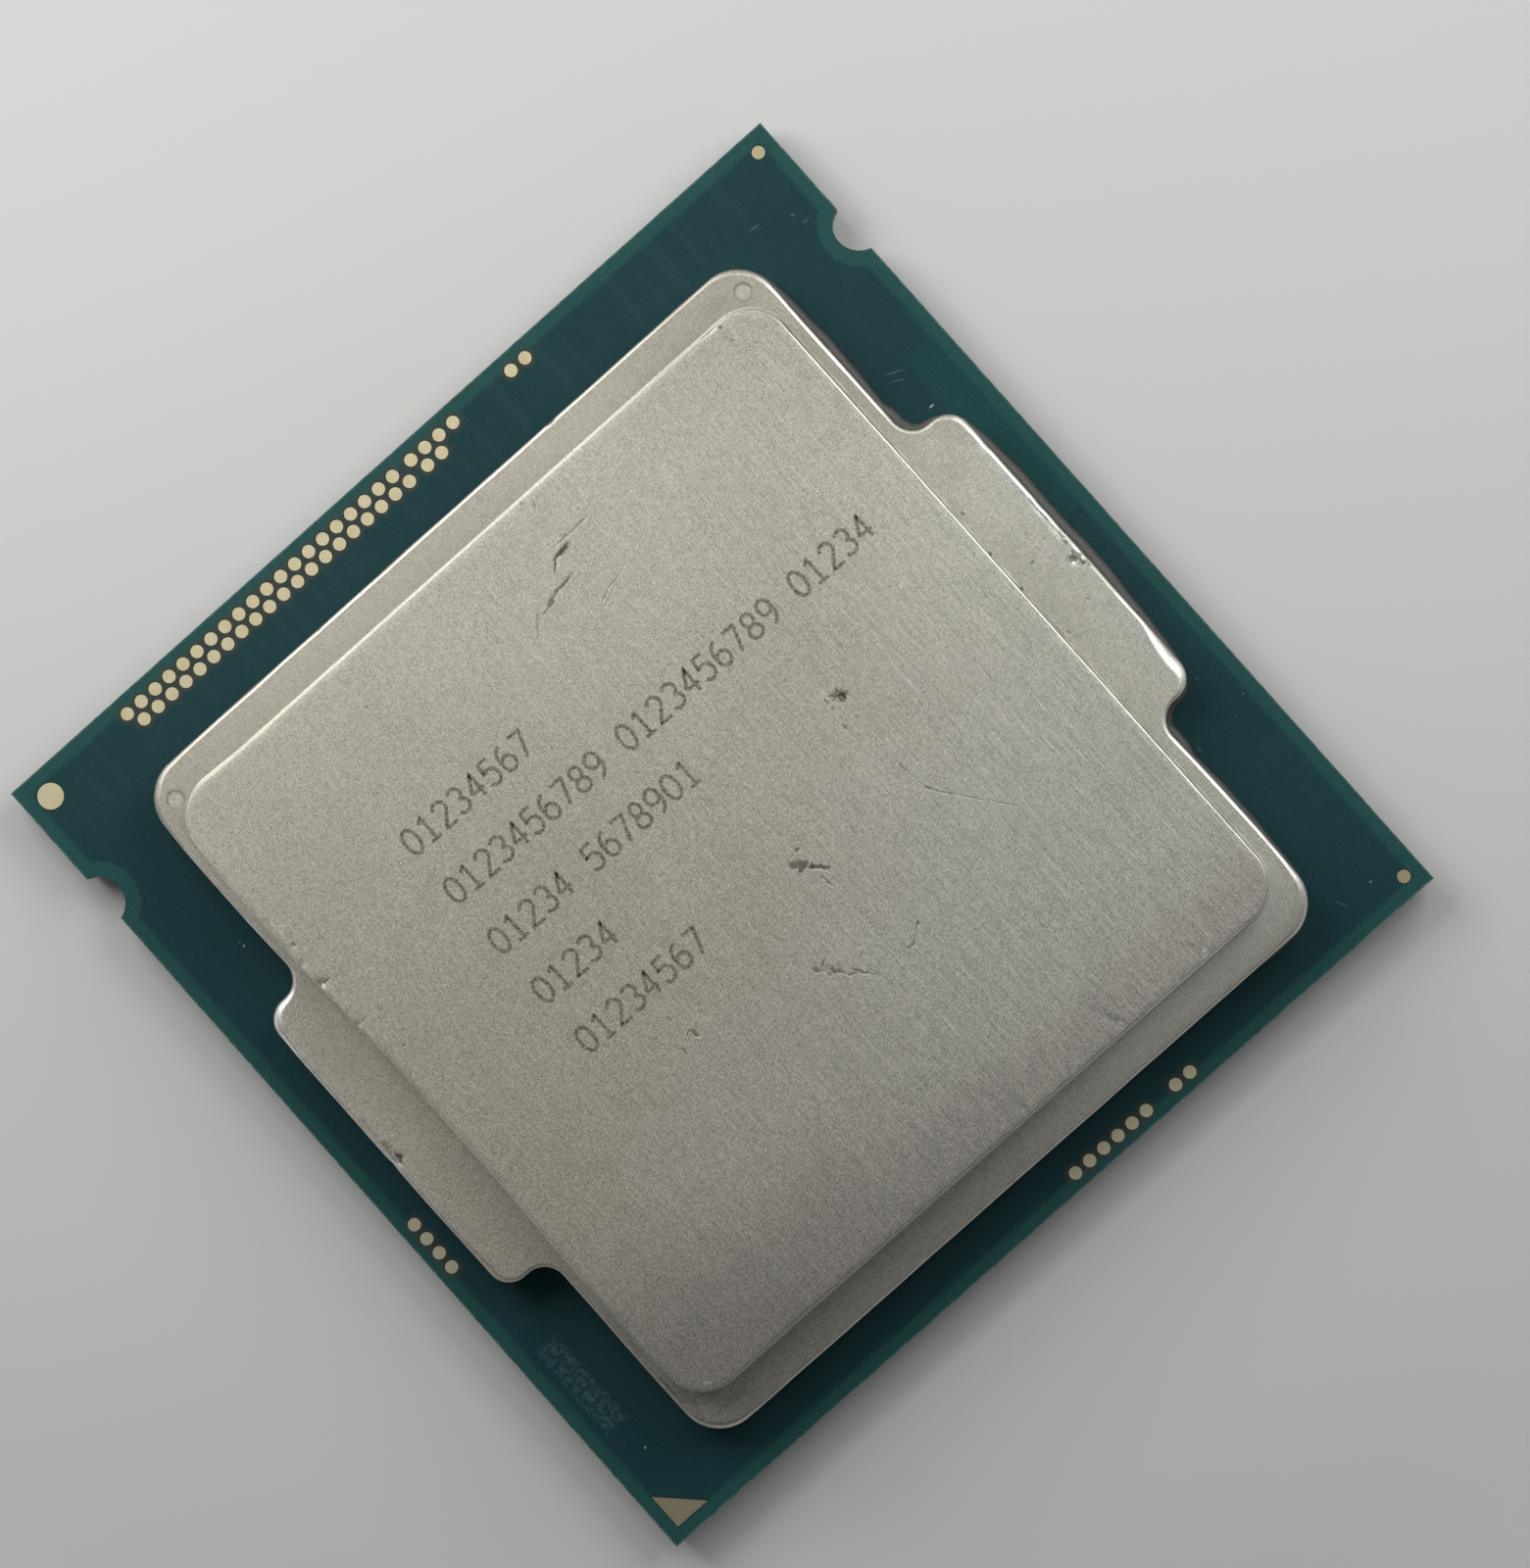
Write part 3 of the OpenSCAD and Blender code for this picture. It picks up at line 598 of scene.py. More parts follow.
# Pale scratches and flecks on the board's top, as straight strokes
BOARD_SCRATCHES = [
    (15.9, 8.7, 16.75, 8.3, 0.05, 0.15),
    (15.9, 8.35, 16.5, 8.05, 0.05, 0.12),
    (15.45, -9.3, 15.45, -9.65, 0.05, 0.15),
    (15.7, 16.0, 16.3, 15.95, 0.05, 0.15),
    (17.3, 15.4, 17.42, 15.36, 0.07, 0.2),
    (17.4, 14.92, 17.8, 14.88, 0.05, 0.15),
    (16.42, 6.65, 16.6, 6.65, 0.09, 0.6),
    (-16.0, 8.7, -15.96, 8.7, 0.09, 0.6),
    (-17.2, -15.2, -17.16, -15.2, 0.09, 0.6),
    (15.4, -16.9, 15.75, -17.5, 0.05, 0.12),
    (16.9, -17.3, 16.94, -17.3, 0.08, 0.4),
]


def board_mask():
    """Dark teal solder mask, lighter where no copper lies below it, on pale layered laminate."""
    look = Look("board_solder_mask")
    x, y, z = look.split(look.place)
    beside = abs(x)
    edge = look.math("SUBTRACT", HALF_BOARD, look.most(beside, abs(y)))
    on_top = look.math("GREATER_THAN", z, BOARD_MIDDLE)
    cloud = look.noise(0.35, 3.0, 0.6)
    fine = look.noise(15.0, 2.0, 0.7)
    mottled = look.noise(3.0, 3.0, 0.65)
    # Copper ends half a millimetre from the edges and round the key notches
    wobble = (mottled - 0.5) * 0.06
    border = look.ramp(edge + wobble, 0.66, 0.40)
    flat_place = look.node("CombineXYZ", (beside, y, 0.0))[0]
    from_notch = look.vector("LENGTH", look.vector("SUBTRACT", flat_place, (NOTCH_X, NOTCH_Y, 0.0)))
    bare = look.most(border, look.ramp(from_notch + wobble, 1.62, 1.54))
    mask = look.mix(cloud, (0.0085, 0.0330, 0.0395), (0.0105, 0.0395, 0.0465))
    mask = look.mix(bare, mask, (0.0145, 0.0600, 0.0585))
    # Faint traces that run to the back pads and to the sides
    back_traces = look.ramp(look.noise(1.0, 1.0, 0.4, (2.6, 0.12, 1)), 0.56, 0.6, 0.0, 0.03)
    side_traces = look.ramp(look.noise(1.0, 1.0, 0.4, (0.10, 2.2, 1)), 0.58, 0.62, 0.0, 0.015)
    traces = look.most(back_traces * look.ramp(y, 15.4, 16.4), side_traces * look.ramp(beside, 17.0, 17.4))
    # Two printed fields, left without any print: a plain pale one and one of fine speckle
    plain = look.patch(17.55, 4.45, 0.65, 4.15, 0.06)
    speckle = look.ramp(look.noise(4.6, 2.0, 0.8), 0.46, 0.56, 0.08, 0.95)
    speckle *= look.patch(-17.4, -11.9, 0.5, 2.0, 0.12)
    mask = look.mix(look.most(speckle * 0.29, traces) * on_top, mask, (0.085, 0.155, 0.165))
    mask = look.mix(plain * on_top * 0.6, mask, (0.0100, 0.0470, 0.0480))
    # Laminate shows darkly between the pads and the edges of their openings
    mask = look.mix(look.attribute("near_pad"), mask, (0.046, 0.045, 0.036))
    scratches = look.strokes(BOARD_SCRATCHES, 0.03) * on_top
    mask = look.mix(scratches, mask, (0.42, 0.47, 0.45))
    dust = look.ramp(look.cells(0.75), 0.035, 0.015, 0.0, 0.3)
    mask = look.mix(dust, mask, (0.32, 0.38, 0.38))
    # The corner between the mask and the sawn edge is rubbed pale in places, with a painted highlight along
    # it
    lightened = look.ramp(edge, 0.075, 0.02) * look.ramp(mottled, 0.35, 0.6, 0.08, 0.35)
    mask = look.mix(lightened, mask, (0.22, 0.30, 0.27))
    mask = look.scaled(mask, (fine - 0.5) * 0.95 + 1.0)
    # Sawn edges: mask, laminate core with its buried layers, mask
    layers = look.ramp(look.noise(1.0, 2.0, 0.6, (0.5, 0.5, 16)), 0.42, 0.6)
    fibres = look.noise(1.0, 3.0, 0.7, (7, 7, 3))
    core = look.mix(layers, (0.085, 0.105, 0.052), (0.175, 0.180, 0.095))
    core = look.scaled(core, fibres * 0.6 + 0.7)
    side = look.mix(look.ramp(abs(z - BOARD_MIDDLE), 0.38, 0.44), core, (0.030, 0.075, 0.070))
    facing_up = abs(look.split(look.node("NewGeometry")["Normal"])[2])
    on_side = look.ramp(facing_up, 0.6, 0.4)
    look.set(
        Base_Color=look.mix(on_side, mask, side),
        Roughness=on_side * 0.35 + (mottled * 0.16 + 0.30),
        Specular_IOR_Level=0.12,
    )
    look.bump(mottled * 1.2 + fine * 0.5 + scratches * -2.0 + on_side * fibres * 8.0, 0.003)
    return look.material


def gold(name, base, speck):
    """Gold flash over nickel: matt, finely speckled, a little browner in patches."""
    look = Look(name)
    fine = look.noise(18.0, 3.0, 0.7)
    patchy = look.noise(1.3, 3.0, 0.6)
    tarnished = tuple(share * channel for share, channel in zip((0.78, 0.68, 0.55), base))
    colour = look.mix(look.ramp(patchy, 0.45, 0.75, 0.0, 0.35), base, tarnished)
    colour = look.mix(look.ramp(fine, 0.36, 0.28, 0.0, speck), colour, (0.20, 0.16, 0.09))
    colour = look.scaled(colour, fine * 0.3 + 0.86)
    look.set(Base_Color=colour, Roughness=patchy * 0.2 + 0.45, Metallic=1.0)
    look.bump(fine, 0.003)
    return look.material


def sealant_rubber():
    """Cured silicone, grey-brown, with a smooth skin and dust that sticks to it."""
    look = Look("sealant_rubber")
    lumps = look.noise(1.8, 3.0, 0.6)
    fine = look.noise(11.0, 3.0, 0.65)
    colour = look.mix(lumps, (0.034, 0.034, 0.031), (0.064, 0.064, 0.059))
    colour = look.mix(look.ramp(fine, 0.6, 0.72, 0.0, 0.5), colour, (0.23, 0.22, 0.20))
    look.set(Base_Color=colour, Roughness=fine * 0.3 + 0.32, Specular_IOR_Level=0.38)
    look.bump(lumps * 3.0 + fine, 0.006)
    return look.material


def dull(name, first, second, scale, roughness, metallic=0.0, relief=0.004):
    """A mottled finish between two colours, with fine relief."""
    look = Look(name)
    lumps = look.noise(scale, 4.0, 0.6)
    fine = look.noise(scale * 6, 3.0, 0.7)
    colour = look.mix(look.ramp(lumps, 0.35, 0.65), first, second)
    look.set(
        Base_Color=look.scaled(colour, fine * 0.4 + 0.8),
        Roughness=fine * 0.25 + roughness,
        Metallic=metallic,
    )
    look.bump(lumps * 2.0 + fine, relief)
    return look.material


# Lid

# Places where the flange's edge is worn rounder: x and y from the lid's middle, half length, added radius
SOFT_EDGES = [
    (17.0, -5.6, 1.9, 0.3),
    (-16.8, 6.5, 1.8, 0.18),
    (14.7, 15.8, 1.8, 0.1),
    (-14.7, 15.8, 2.4, 0.14),
    (14.6, -15.8, 2.2, 0.16),
    (-14.6, -15.8, 2.4, 0.16),
    (-17.0, -5.8, 1.6, 0.12),
    (17.0, 6.1, 1.4, 0.08),
]
# Places where the raised top's edge is worn rounder
SOFT_TOP_EDGES = [
    (12.2, 14.575, 0.5, 0.1),
    (-14.3, 6.2, 0.35, 0.08),
    (-14.3, 8.0, 1.2, 0.04),
    (3.5, -14.575, 0.4, 0.06),
    (-9.0, -14.575, 3.0, 0.05),
    (0.0, 14.575, 14.0, -0.035),
    (14.3, 0.0, 14.0, -0.028),
    (-14.3, -2.0, 9.0, 0.05),
    (0.0, -14.575, 14.5, 0.05),
]
# Places where the flange's edge and the raised top's edge are rubbed bright and carry a painted highlight:
# x and y from the lid's middle, half length and how bright
BRIGHT_EDGES = [
    (14.99, -11.0, 4.2, 0.85),
    (17.0, -5.0, 2.6, 0.65),
    (17.0, 3.0, 3.5, 0.55),
    (14.99, 11.4, 3.6, 0.65),
    (-1.0, 16.15, 12.5, 0.14),
    (-17.0, 6.0, 1.9, 0.7),
    (-17.0, 1.5, 4.5, 0.35),
    (-14.99, 10.4, 4.4, 0.5),
    (0.0, -16.15, 14.0, 0.1),
]
BRIGHT_TOP_EDGES = [
    (14.3, -0.6, 13.2, 0.58),
    (14.3, 10.8, 2.6, 0.25),
    (-14.3, -0.5, 8.0, 0.25),
    (-14.3, 9.5, 3.6, 0.4),
    (10.0, -14.575, 2.5, 0.25),
]
# The press left the raised top a little fuller on the left, and the flange near two of its corners
TOP_BULGES = [
    (-HALF_TOP_W, 9.6, 7.5, 0.24),
    (-HALF_TOP_W, -10.0, 6.0, 0.09),
]
FLANGE_BULGES = [
    (-HALF_LID_W, 11.4, 4.6, 0.10),
    (HALF_LID_W, -11.8, 4.2, 0.07),
]
# Where painted light brightens the flange beside the wall's foot at the front
FRONT_FOOT_LIGHT = [(10.5, -16.15, 8.0, 0.30)]
# Stains on the flange, in the part's frame: x, y, half width, half length and how dark
STAINS = [
    (5.57, 15.6, 0.06, 0.14, 0.8),
    (-5.95, 15.58, 0.1, 0.08, 0.5),
    (-16.64, -1.12, 0.13, 0.26, 0.95),
    (-16.74, -0.5, 0.13, 0.34, 0.6),
    (-16.82, 0.4, 0.12, 0.7, 0.35),
    (-16.0, 3.0, 0.5, 2.2, 0.1),
    (-15.2, 5.6, 0.6, 0.9, 0.12),
    (16.6, -1.12, 0.17, 0.27, 0.62),
    (16.8, -1.37, 0.13, 0.22, 0.85),
    (16.5, -0.92, 0.08, 0.1, 0.6),
    (16.73, -0.47, 0.07, 0.13, 0.75),
    (16.86, 0.02, 0.055, 0.42, 0.95),
    (16.82, 0.95, 0.05, 0.62, 0.8),
    # Specks on the right ear
    (14.63, 2.83, 0.06, 0.06, 0.75),
    (14.44, 1.08, 0.06, 0.06, 0.75),
    (15.39, -0.19, 0.07, 0.07, 0.8),
    (14.45, -0.67, 0.06, 0.06, 0.5),
    (16.02, -2.52, 0.06, 0.06, 0.55),
    (14.63, -2.99, 0.06, 0.06, 0.55),
    # Broad faint stains on the ears, and painted shade along the wall's foot at the flange's corners
    (16.35, 5.6, 0.5, 0.7, 0.14),
    (15.5, 4.3, 0.45, 0.6, 0.12),
    (15.1, -1.2, 0.5, 3.0, 0.1),
    (-14.8, -14.1, 0.05, 0.5, 0.75),
    (-14.55, -14.6, 0.2, 0.9, 0.35),
    (-14.3, -13.0, 0.1, 0.7, 0.35),
    (-14.75, -12.0, 0.08, 0.5, 0.25),
    (-13.2, -15.9, 0.8, 0.2, 0.25),
    (12.9, 14.6, 0.7, 0.3, 0.1),
    (-14.65, 13.0, 0.5, 1.7, 0.16),
]
# Bare metal scraped up beside the gouge in the right ear's edge, and painted glints in its pit
GLINTS = [
    (16.71, 0.72, 0.05, 0.8, 0.6),
    (16.6, -0.8, 0.06, 0.07, 0.75),
    (16.49, -1.2, 0.05, 0.06, 0.8),
    (16.72, -1.06, 0.05, 0.06, 0.45),
    (16.92, -1.05, 0.05, 0.3, 0.5),
]
# Dents, in the part's frame: middle, radius and how far the metal is pushed
DENTS = [
    ((-16.98, -1.12, FLANGE_TOP), 0.2, (0.04, 0.02, -0.06)),
    ((-16.64, -1.12, FLANGE_TOP), 0.15, (0.0, 0.0, -0.03)),
    ((16.93, -1.3, FLANGE_TOP), 0.16, (-0.05, 0.02, -0.07)),
    ((16.6, -1.18, FLANGE_TOP), 0.14, (0.0, 0.0, -0.05)),
    ((16.98, 0.1, FLANGE_TOP), 0.3, (-0.02, 0.0, -0.03)),
    ((16.98, 1.2, FLANGE_TOP), 0.25, (-0.02, 0.0, -0.02)),
    ((17.0, 4.2, FLANGE_TOP), 0.25, (-0.03, 0.0, -0.03)),
    ((-14.32, 5.55, LID_TOP), 0.14, (0.06, 0.0, -0.05)),
    ((-14.32, 7.3, LID_TOP), 0.1, (0.04, 0.0, -0.03)),
    ((-14.32, 3.55, LID_TOP), 0.1, (0.04, 0.0, -0.03)),
    ((5.57, 15.6, FLANGE_TOP), 0.14, (0.0, -0.14, -0.09)),
    ((-5.95, 15.6, FLANGE_TOP), 0.12, (0.0, -0.06, -0.05)),
    ((-14.35, 6.55, LID_TOP), 0.12, (0.05, 0.0, -0.03)),
    ((6.57, -14.98, LID_TOP), 0.13, (0.0, 0.05, -0.04)),
    ((10.59, -15.02, LID_TOP), 0.1, (0.0, 0.04, -0.04)),
    ((1.79, -15.02, LID_TOP), 0.1, (0.0, 0.04, -0.03)),
]

# Shares of the way from the flange's edge to the wall's foot at which the flange's flat has points
FLAT_SHARES = np.array([0.01, *np.linspace(0.022, 0.20, 15), *np.linspace(0.24, 0.94, 18), 0.98])
# Steps round the flange's edge
EDGE_STEPS = 8
# How far the flange's side and edges wander from their lines
WANDER = 0.012
# How many waves make a spot's ragged outline, and the shortest and longest of them
UNEVEN_WAVES = 9
UNEVEN_LENGTHS = (0.12, 0.6)
# How ragged spots and strokes are, as a share of their size
SPOT_RAGGED = 0.35
STROKE_RAGGED = 0.22


def off_dimples(points):
    """Distances of points from the middle of each ejector mark, seen from above."""
    return [
        np.hypot(points[:, 0] - side * DIMPLE_X, points[:, 1] - LID_Y - DIMPLE_Y)
        for side in (-1, 1)
    ]


def worn(points):
    """The lid's points with its ejector marks pressed in and its dents pushed."""
    points = points.copy()
    for off in off_dimples(points):
        depth = DIMPLE_DEPTH * np.clip((DIMPLE_R + 0.03 - off) / DIMPLE_SLOPE, 0, 1)
        points[:, 2] -= np.where(points[:, 2] > FLANGE_TOP - 0.01, depth, 0)
    for middle, radius, push in DENTS:
        off = np.linalg.norm(points - np.array(middle), axis=1)
        points += np.exp(-(off / radius) ** 2)[:, None] * np.array(push)
    return points


def uneven_field(x, y):
    """A seeded uneven height, mostly within 1, at each place."""
    total = np.zeros_like(x)
    for _ in range(UNEVEN_WAVES):
        turn = rng.uniform(0, 2 * math.pi)
        length = rng.uniform(*UNEVEN_LENGTHS)
        phase = (x * math.cos(turn) + y * math.sin(turn)) * 2 * math.pi / length
        total += np.sin(phase + rng.uniform(0, 2 * math.pi))
    return total / math.sqrt(UNEVEN_WAVES)


def spotted(points, spots):
    """How dark or how bright some spots on the flange are at each point."""
    x, y, z = points.T
    ragged_x, ragged_y = (SPOT_RAGGED * uneven_field(x, y) for _ in range(2))
    amount = np.zeros(len(points))
    for at_x, at_y, half_w, half_l, strength in spots:
        off = np.hypot((x - at_x) / half_w + ragged_x, (y - at_y) / half_l + ragged_y)
        amount = np.maximum(amount, strength * np.clip((1.3 - off) / 0.7, 0, 1))
    return np.where((z > FLANGE_TOP - 0.3) & (z < FLANGE_TOP + 0.1), amount, 0)


def lid_wear(points, flange, top, at):
    """How bright and how dark the lid is at its points. The slices in at say which rings each form has."""
    sides = np.clip([top[:, 2], -top[:, 2], top[:, 3], -top[:, 3]], 0, 1)
    to_right, to_left, to_back, to_front = sides
    inward = FLAT_SHARES[:, None]
    painted_shade = np.zeros((len(points) // len(flange), len(flange)))
    shine = painted_shade.copy()
    # Painted shade at the wall's foot, over the flange at the back and along the flange's edge at the front
    at_foot = 0.40 - 0.07 * (top[:, 1] > 0)
    painted_shade[at["foot"]] = at_foot * to_right * (1 + ripple(top, 0.3, (23, 61, 97)))
    beyond_ear = np.clip((top[:, 1] - 6.0) / 2, 0, 1)
    painted_shade[at["flat"]] = (
        to_back * (0.12 + 0.16 * inward ** 2)
        + to_right * beyond_ear * 0.10
        + to_front * np.clip(0.34 - inward, 0, 0.30)
    )
    painted_shade[at["edge"]] = 0.30 * to_front
    # Painted light, a little on the wall on the left, and on the foot and the flat at the front
    lightened = swell(flange, FRONT_FOOT_LIGHT)
    shine[at["wall"]] = 0.22 * to_left
    shine[at["foot"]] = np.maximum(shine[at["foot"]], lightened)
    shine[at["flat"]] = lightened * inward
    flange_shine = swell(flange, BRIGHT_EDGES, 0.5) * (1 + ripple(flange, 0.7, (37, 71, 113, 190)))
    top_shine = swell(top, BRIGHT_TOP_EDGES, 0.3) * (1 + ripple(top, 0.6, (29, 83, 131, 210)))
    shine[at["edge"]] = np.clip(flange_shine, 0, 1)
    shine[at["brow"]] = np.clip(top_shine, 0, 1)
    # A thin painted reflection along the very edge at the front, with no painted shade there
    painted_shade[at["thin"]] = 0
    shine[at["thin"]] = np.maximum(shine[at["thin"]], 0.2 * to_front)
    # The last two points are the middles of the cavity and of the top
    bright = np.maximum(np.append(shine, [0, 0]), spotted(points, GLINTS))
    dark = spotted(points, STAINS) + np.append(painted_shade, [0, 0])
    # The ejector marks have a pale floor and a dark rim
    on_flat = np.abs(points[:, 2] - FLANGE_TOP) < 0.02
    for off in off_dimples(points):
        bright += on_flat * 0.12 * np.clip((DIMPLE_R - off) / 0.06, 0, 1)
        dark += on_flat * 0.35 * np.exp(-((off - DIMPLE_R) / 0.05) ** 2)
    return {"bright_wear": bright, "dark_wear": dark}


def heat_spreader(material):
    """The pressed lid: cavity, rim, flange with ears, sloping wall and raised top."""
    flange = flange_loop()
    top = rounded_loop(HALF_TOP_W, HALF_TOP_L, TOP_R)
    top[:, :2] += top[:, 2:] * swell(top, TOP_BULGES)[:, None]
    cavity = rounded_loop(HALF_LID_W - RIM_W, HALF_LID_L - RIM_W, CAVITY_R)
    edge_r = FLANGE_EDGE_R + swell(flange, SOFT_EDGES, 1.5) + ripple(flange, WANDER, (9, 17, 26, 41))
    top_edge_r = TOP_EDGE_R + swell(top, SOFT_TOP_EDGES) + ripple(top, WANDER, (14, 31, 57, 90))
    sway = ripple(flange, WANDER, (5, 11, 23, 38)) + swell(flange, FLANGE_BULGES)

    # Cavity, rim, and the flange's side and edge
    at = {}
    rings = [ring(cavity, 0, CAVITY_TOP), ring(cavity, 0, SEAT)]
    rings += [ring(flange, sway - RIM_CHAMFER, SEAT), ring(flange, sway, SEAT + RIM_CHAMFER)]
    rings += between(rings[-1], ring(flange, sway, FLANGE_TOP - edge_r), (0.5, 0.9))
    at["edge"] = slice(len(rings) + 1, len(rings) + EDGE_STEPS)
    at["thin"] = slice(len(rings) + 1, len(rings) + 5)
    for turn in np.radians(np.linspace(0, 90, EDGE_STEPS)):
        out = sway - edge_r * (1 - math.cos(turn))
        rings.append(ring(flange, out, FLANGE_TOP - edge_r * (1 - math.sin(turn))))

    # The flange's flat and the wall's foot
    foot = (WALL_SPREAD, FLANGE_TOP)
    brow = (0, LID_TOP)
    foot_profile = fillet((WALL_SPREAD + 1, FLANGE_TOP), foot, brow, FOOT_R)
    foot_ring = ring(top, foot_profile[0][0], FLANGE_TOP)
    at["flat"] = slice(len(rings), len(rings) + len(FLAT_SHARES))
    rings += between(rings[-1], foot_ring, FLAT_SHARES)
    at["foot"] = slice(len(rings) + 1, len(rings) + len(foot_profile))
    rings += [ring(top, out, height) for out, height in foot_profile]

    # The wall and the top's edge. The edge's radius changes from point to point, so its profile is scaled
    # from one of radius 1
    unit_brow = np.array(fillet(foot, brow, (-5, LID_TOP), 1.0)) - brow
    brow_rings = [
        ring(top, out * top_edge_r, LID_TOP + drop * top_edge_r)
        for out, drop in unit_brow
    ]
    rings += between(rings[-1], brow_rings[0], (0.4, 0.8))
    at["wall"] = slice(at["foot"].start, len(rings) + 2)
    at["brow"] = slice(len(rings) + 2, len(rings) + len(brow_rings) - 1)
    rings += brow_rings
    rings += [ring(top, -0.32, LID_TOP), ring(top, -0.36, LID_TOP)]
    middle = np.array([0, 0, LID_TOP])
    rings += between(rings[-1], middle, (0.08, 0.2, 0.35, 0.5, 0.65, 0.8, 0.92))

    count = len(flange)
    points = np.vstack(rings + [[0, 0, CAVITY_TOP], middle])
    points[:, 1] += LID_Y
    faces = skin(count, len(rings))
    faces += fan(count, 0, len(points) - 2)
    faces += fan(count, (len(rings) - 1) * count, len(points) - 1)
    piece = make_piece("lid", worn(points), faces, material, ["heat_spreader"], sharp=50)
    carry(piece, **lid_wear(points, flange, top, at))


# Wear on the lid's top

# Spacing of the points that carry it, and how far they stay inside the raised top's outline
WEAR_CELL = 0.035
WEAR_MARGIN = 0.05


def worn_amount(strokes, xs, ys):
    """How worn the lid's top is at each place of a grid, from 0 to 1."""
    x, y = np.meshgrid(xs, ys, indexing="ij")
    shift_x, shift_y = uneven_field(x, y), uneven_field(x, y)
    total = np.zeros_like(x)
    for x0, y0, x1, y1, width, strength in strokes:
        reach = 1.5 * width
        columns = (xs > min(x0, x1) - reach) & (xs < max(x0, x1) + reach)
        rows = (ys > min(y0, y1) - reach) & (ys < max(y0, y1) + reach)
        window = np.ix_(columns, rows)
        ragged = STROKE_RAGGED * width
        away_x = x[window] + ragged * shift_x[window] - (x0 + x1) / 2
        away_y = y[window] + ragged * shift_y[window] - (y0 + y1) / 2
        length = math.hypot(x1 - x0, y1 - y0)
        ahead = ((x1 - x0) / length, (y1 - y0) / length)
        far = (away_x * ahead[0] + away_y * ahead[1]) / ((length + width) / 2)
        side = (away_y * ahead[0] - away_x * ahead[1]) / (width / 2)
        core = np.clip((1.35 - np.hypot(far, side)) / 0.7, 0, 1)
        amount = strength * core * core * (3 - 2 * core)
        total[window] = np.maximum(total[window], amount)
    return total


def wear_marks(material):
    """Patches of the lid's own metal, a hair above its top, whose points carry how worn the metal is."""
    xs = np.arange(-HALF_TOP_W + WEAR_MARGIN, HALF_TOP_W - WEAR_MARGIN, WEAR_CELL)
    ys = np.arange(LID_Y - HALF_TOP_L + WEAR_MARGIN, LID_Y + HALF_TOP_L - WEAR_MARGIN, WEAR_CELL)
    dark = worn_amount(DARK_WEAR, xs, ys)
    bright = worn_amount(BRIGHT_WEAR, xs, ys)
    marked = (dark + bright) > 0
    cells = marked[:-1, :-1] | marked[1:, :-1] | marked[:-1, 1:] | marked[1:, 1:]
    used = np.zeros_like(marked)
    for corners in (used[:-1, :-1], used[1:, :-1], used[:-1, 1:], used[1:, 1:]):
        corners |= cells
    x, y = np.meshgrid(xs, ys, indexing="ij")
    points = np.column_stack([x[used], y[used], np.full(used.sum(), LID_TOP + MARK_LIFT / 2)])
    number = np.cumsum(used).reshape(used.shape) - 1
    corners = (number[:-1, :-1], number[1:, :-1], number[1:, 1:], number[:-1, 1:])
    faces = np.stack(corners, axis=-1)[cells].tolist()
    piece = make_piece("lid_wear", points, faces, material)
    carry(piece, dark_wear=dark[used], bright_wear=bright[used])


# Plain digits where the real lid is marked by laser

def bow(x, y, across, up, start, end, steps=14):
    """Points of an elliptical arc."""
    angles = np.radians(np.linspace(start, end, steps))
    return [(x + across * math.cos(a), y + up * math.sin(a)) for a in angles]


# Each glyph is strokes in a cell 0.6 wide and 1 high: points, or an arc as centre, radii, start and end
GLYPHS = {
    "0": [bow(0.3, 0.5, 0.27, 0.5, 90, 450, 26)],
    "1": [[(0.1, 0.82), (0.32, 1), (0.32, 0)], [(0.08, 0), (0.54, 0)]],
    "2": [bow(0.3, 0.73, 0.26, 0.27, 165, -30) + [(0.05, 0), (0.56, 0)]],
    "3": [bow(0.28, 0.75, 0.25, 0.25, 150, -80), bow(0.28, 0.26, 0.28, 0.26, 85, -150, 16)],
    "4": [[(0.42, 0), (0.42, 1), (0.02, 0.3)], [(0.02, 0.3), (0.58, 0.3)]],
    "5": [[(0.52, 1), (0.1, 1), (0.06, 0.56)] + bow(0.28, 0.32, 0.28, 0.32, 125, -145, 18)],
    "6": [bow(0.42, 0.5, 0.38, 0.5, 95, 190, 12), bow(0.31, 0.29, 0.26, 0.29, 0, 360, 22)],
    "7": [[(0.03, 1), (0.56, 1), (0.2, 0)]],
    "8": [bow(0.3, 0.75, 0.22, 0.25, 0, 360, 20), bow(0.3, 0.25, 0.27, 0.25, 0, 360, 22)],
    "9": [bow(0.29, 0.71, 0.26, 0.29, 0, 360, 22), bow(0.18, 0.5, 0.38, 0.5, -85, 10, 12)],
}
# Plain counting digits, one string a line, and the place along Y at which each line stands
DIGIT_LINES = [
    (6.72, "01234567"),
    (4.36, "0123456789 0123456789 01234"),
    (1.91, "01234 5678901"),
    (-0.5, "01234"),
    (-2.9, "01234567"),
]
DIGITS_LEFT = -8.68
DIGIT_HEIGHT = 1.0
DIGIT_PITCH = 0.765
STROKE_WIDTH = 0.135
# Strokes of a digit lie this far above one another where they cross
LAYER_LIFT = 0.0003


def ribbon(points, width):
    """Both edges of a band along a line of points, its width a little uneven."""
    points = np.array(points)
    ahead = np.gradient(points, axis=0)
    ahead /= np.linalg.norm(ahead, axis=1)[:, None]
    across = np.column_stack([-ahead[:, 1], ahead[:, 0]])
    out = across * width / 2 * (1 + rng.uniform(-0.16, 0.16, (len(points), 1)))
    return np.stack([points + out, points - out], axis=1).reshape(-1, 2)


def dense(points, step=0.06):
    """A line of points with more points added, so that no stretch is longer than a step."""
    out = [points[0]]
    for start, end in zip(points, points[1:]):
        count = max(1, math.ceil(np.linalg.norm(end - start) / step))
        out += [start + (end - start) * k / count for k in range(1, count + 1)]
    return out


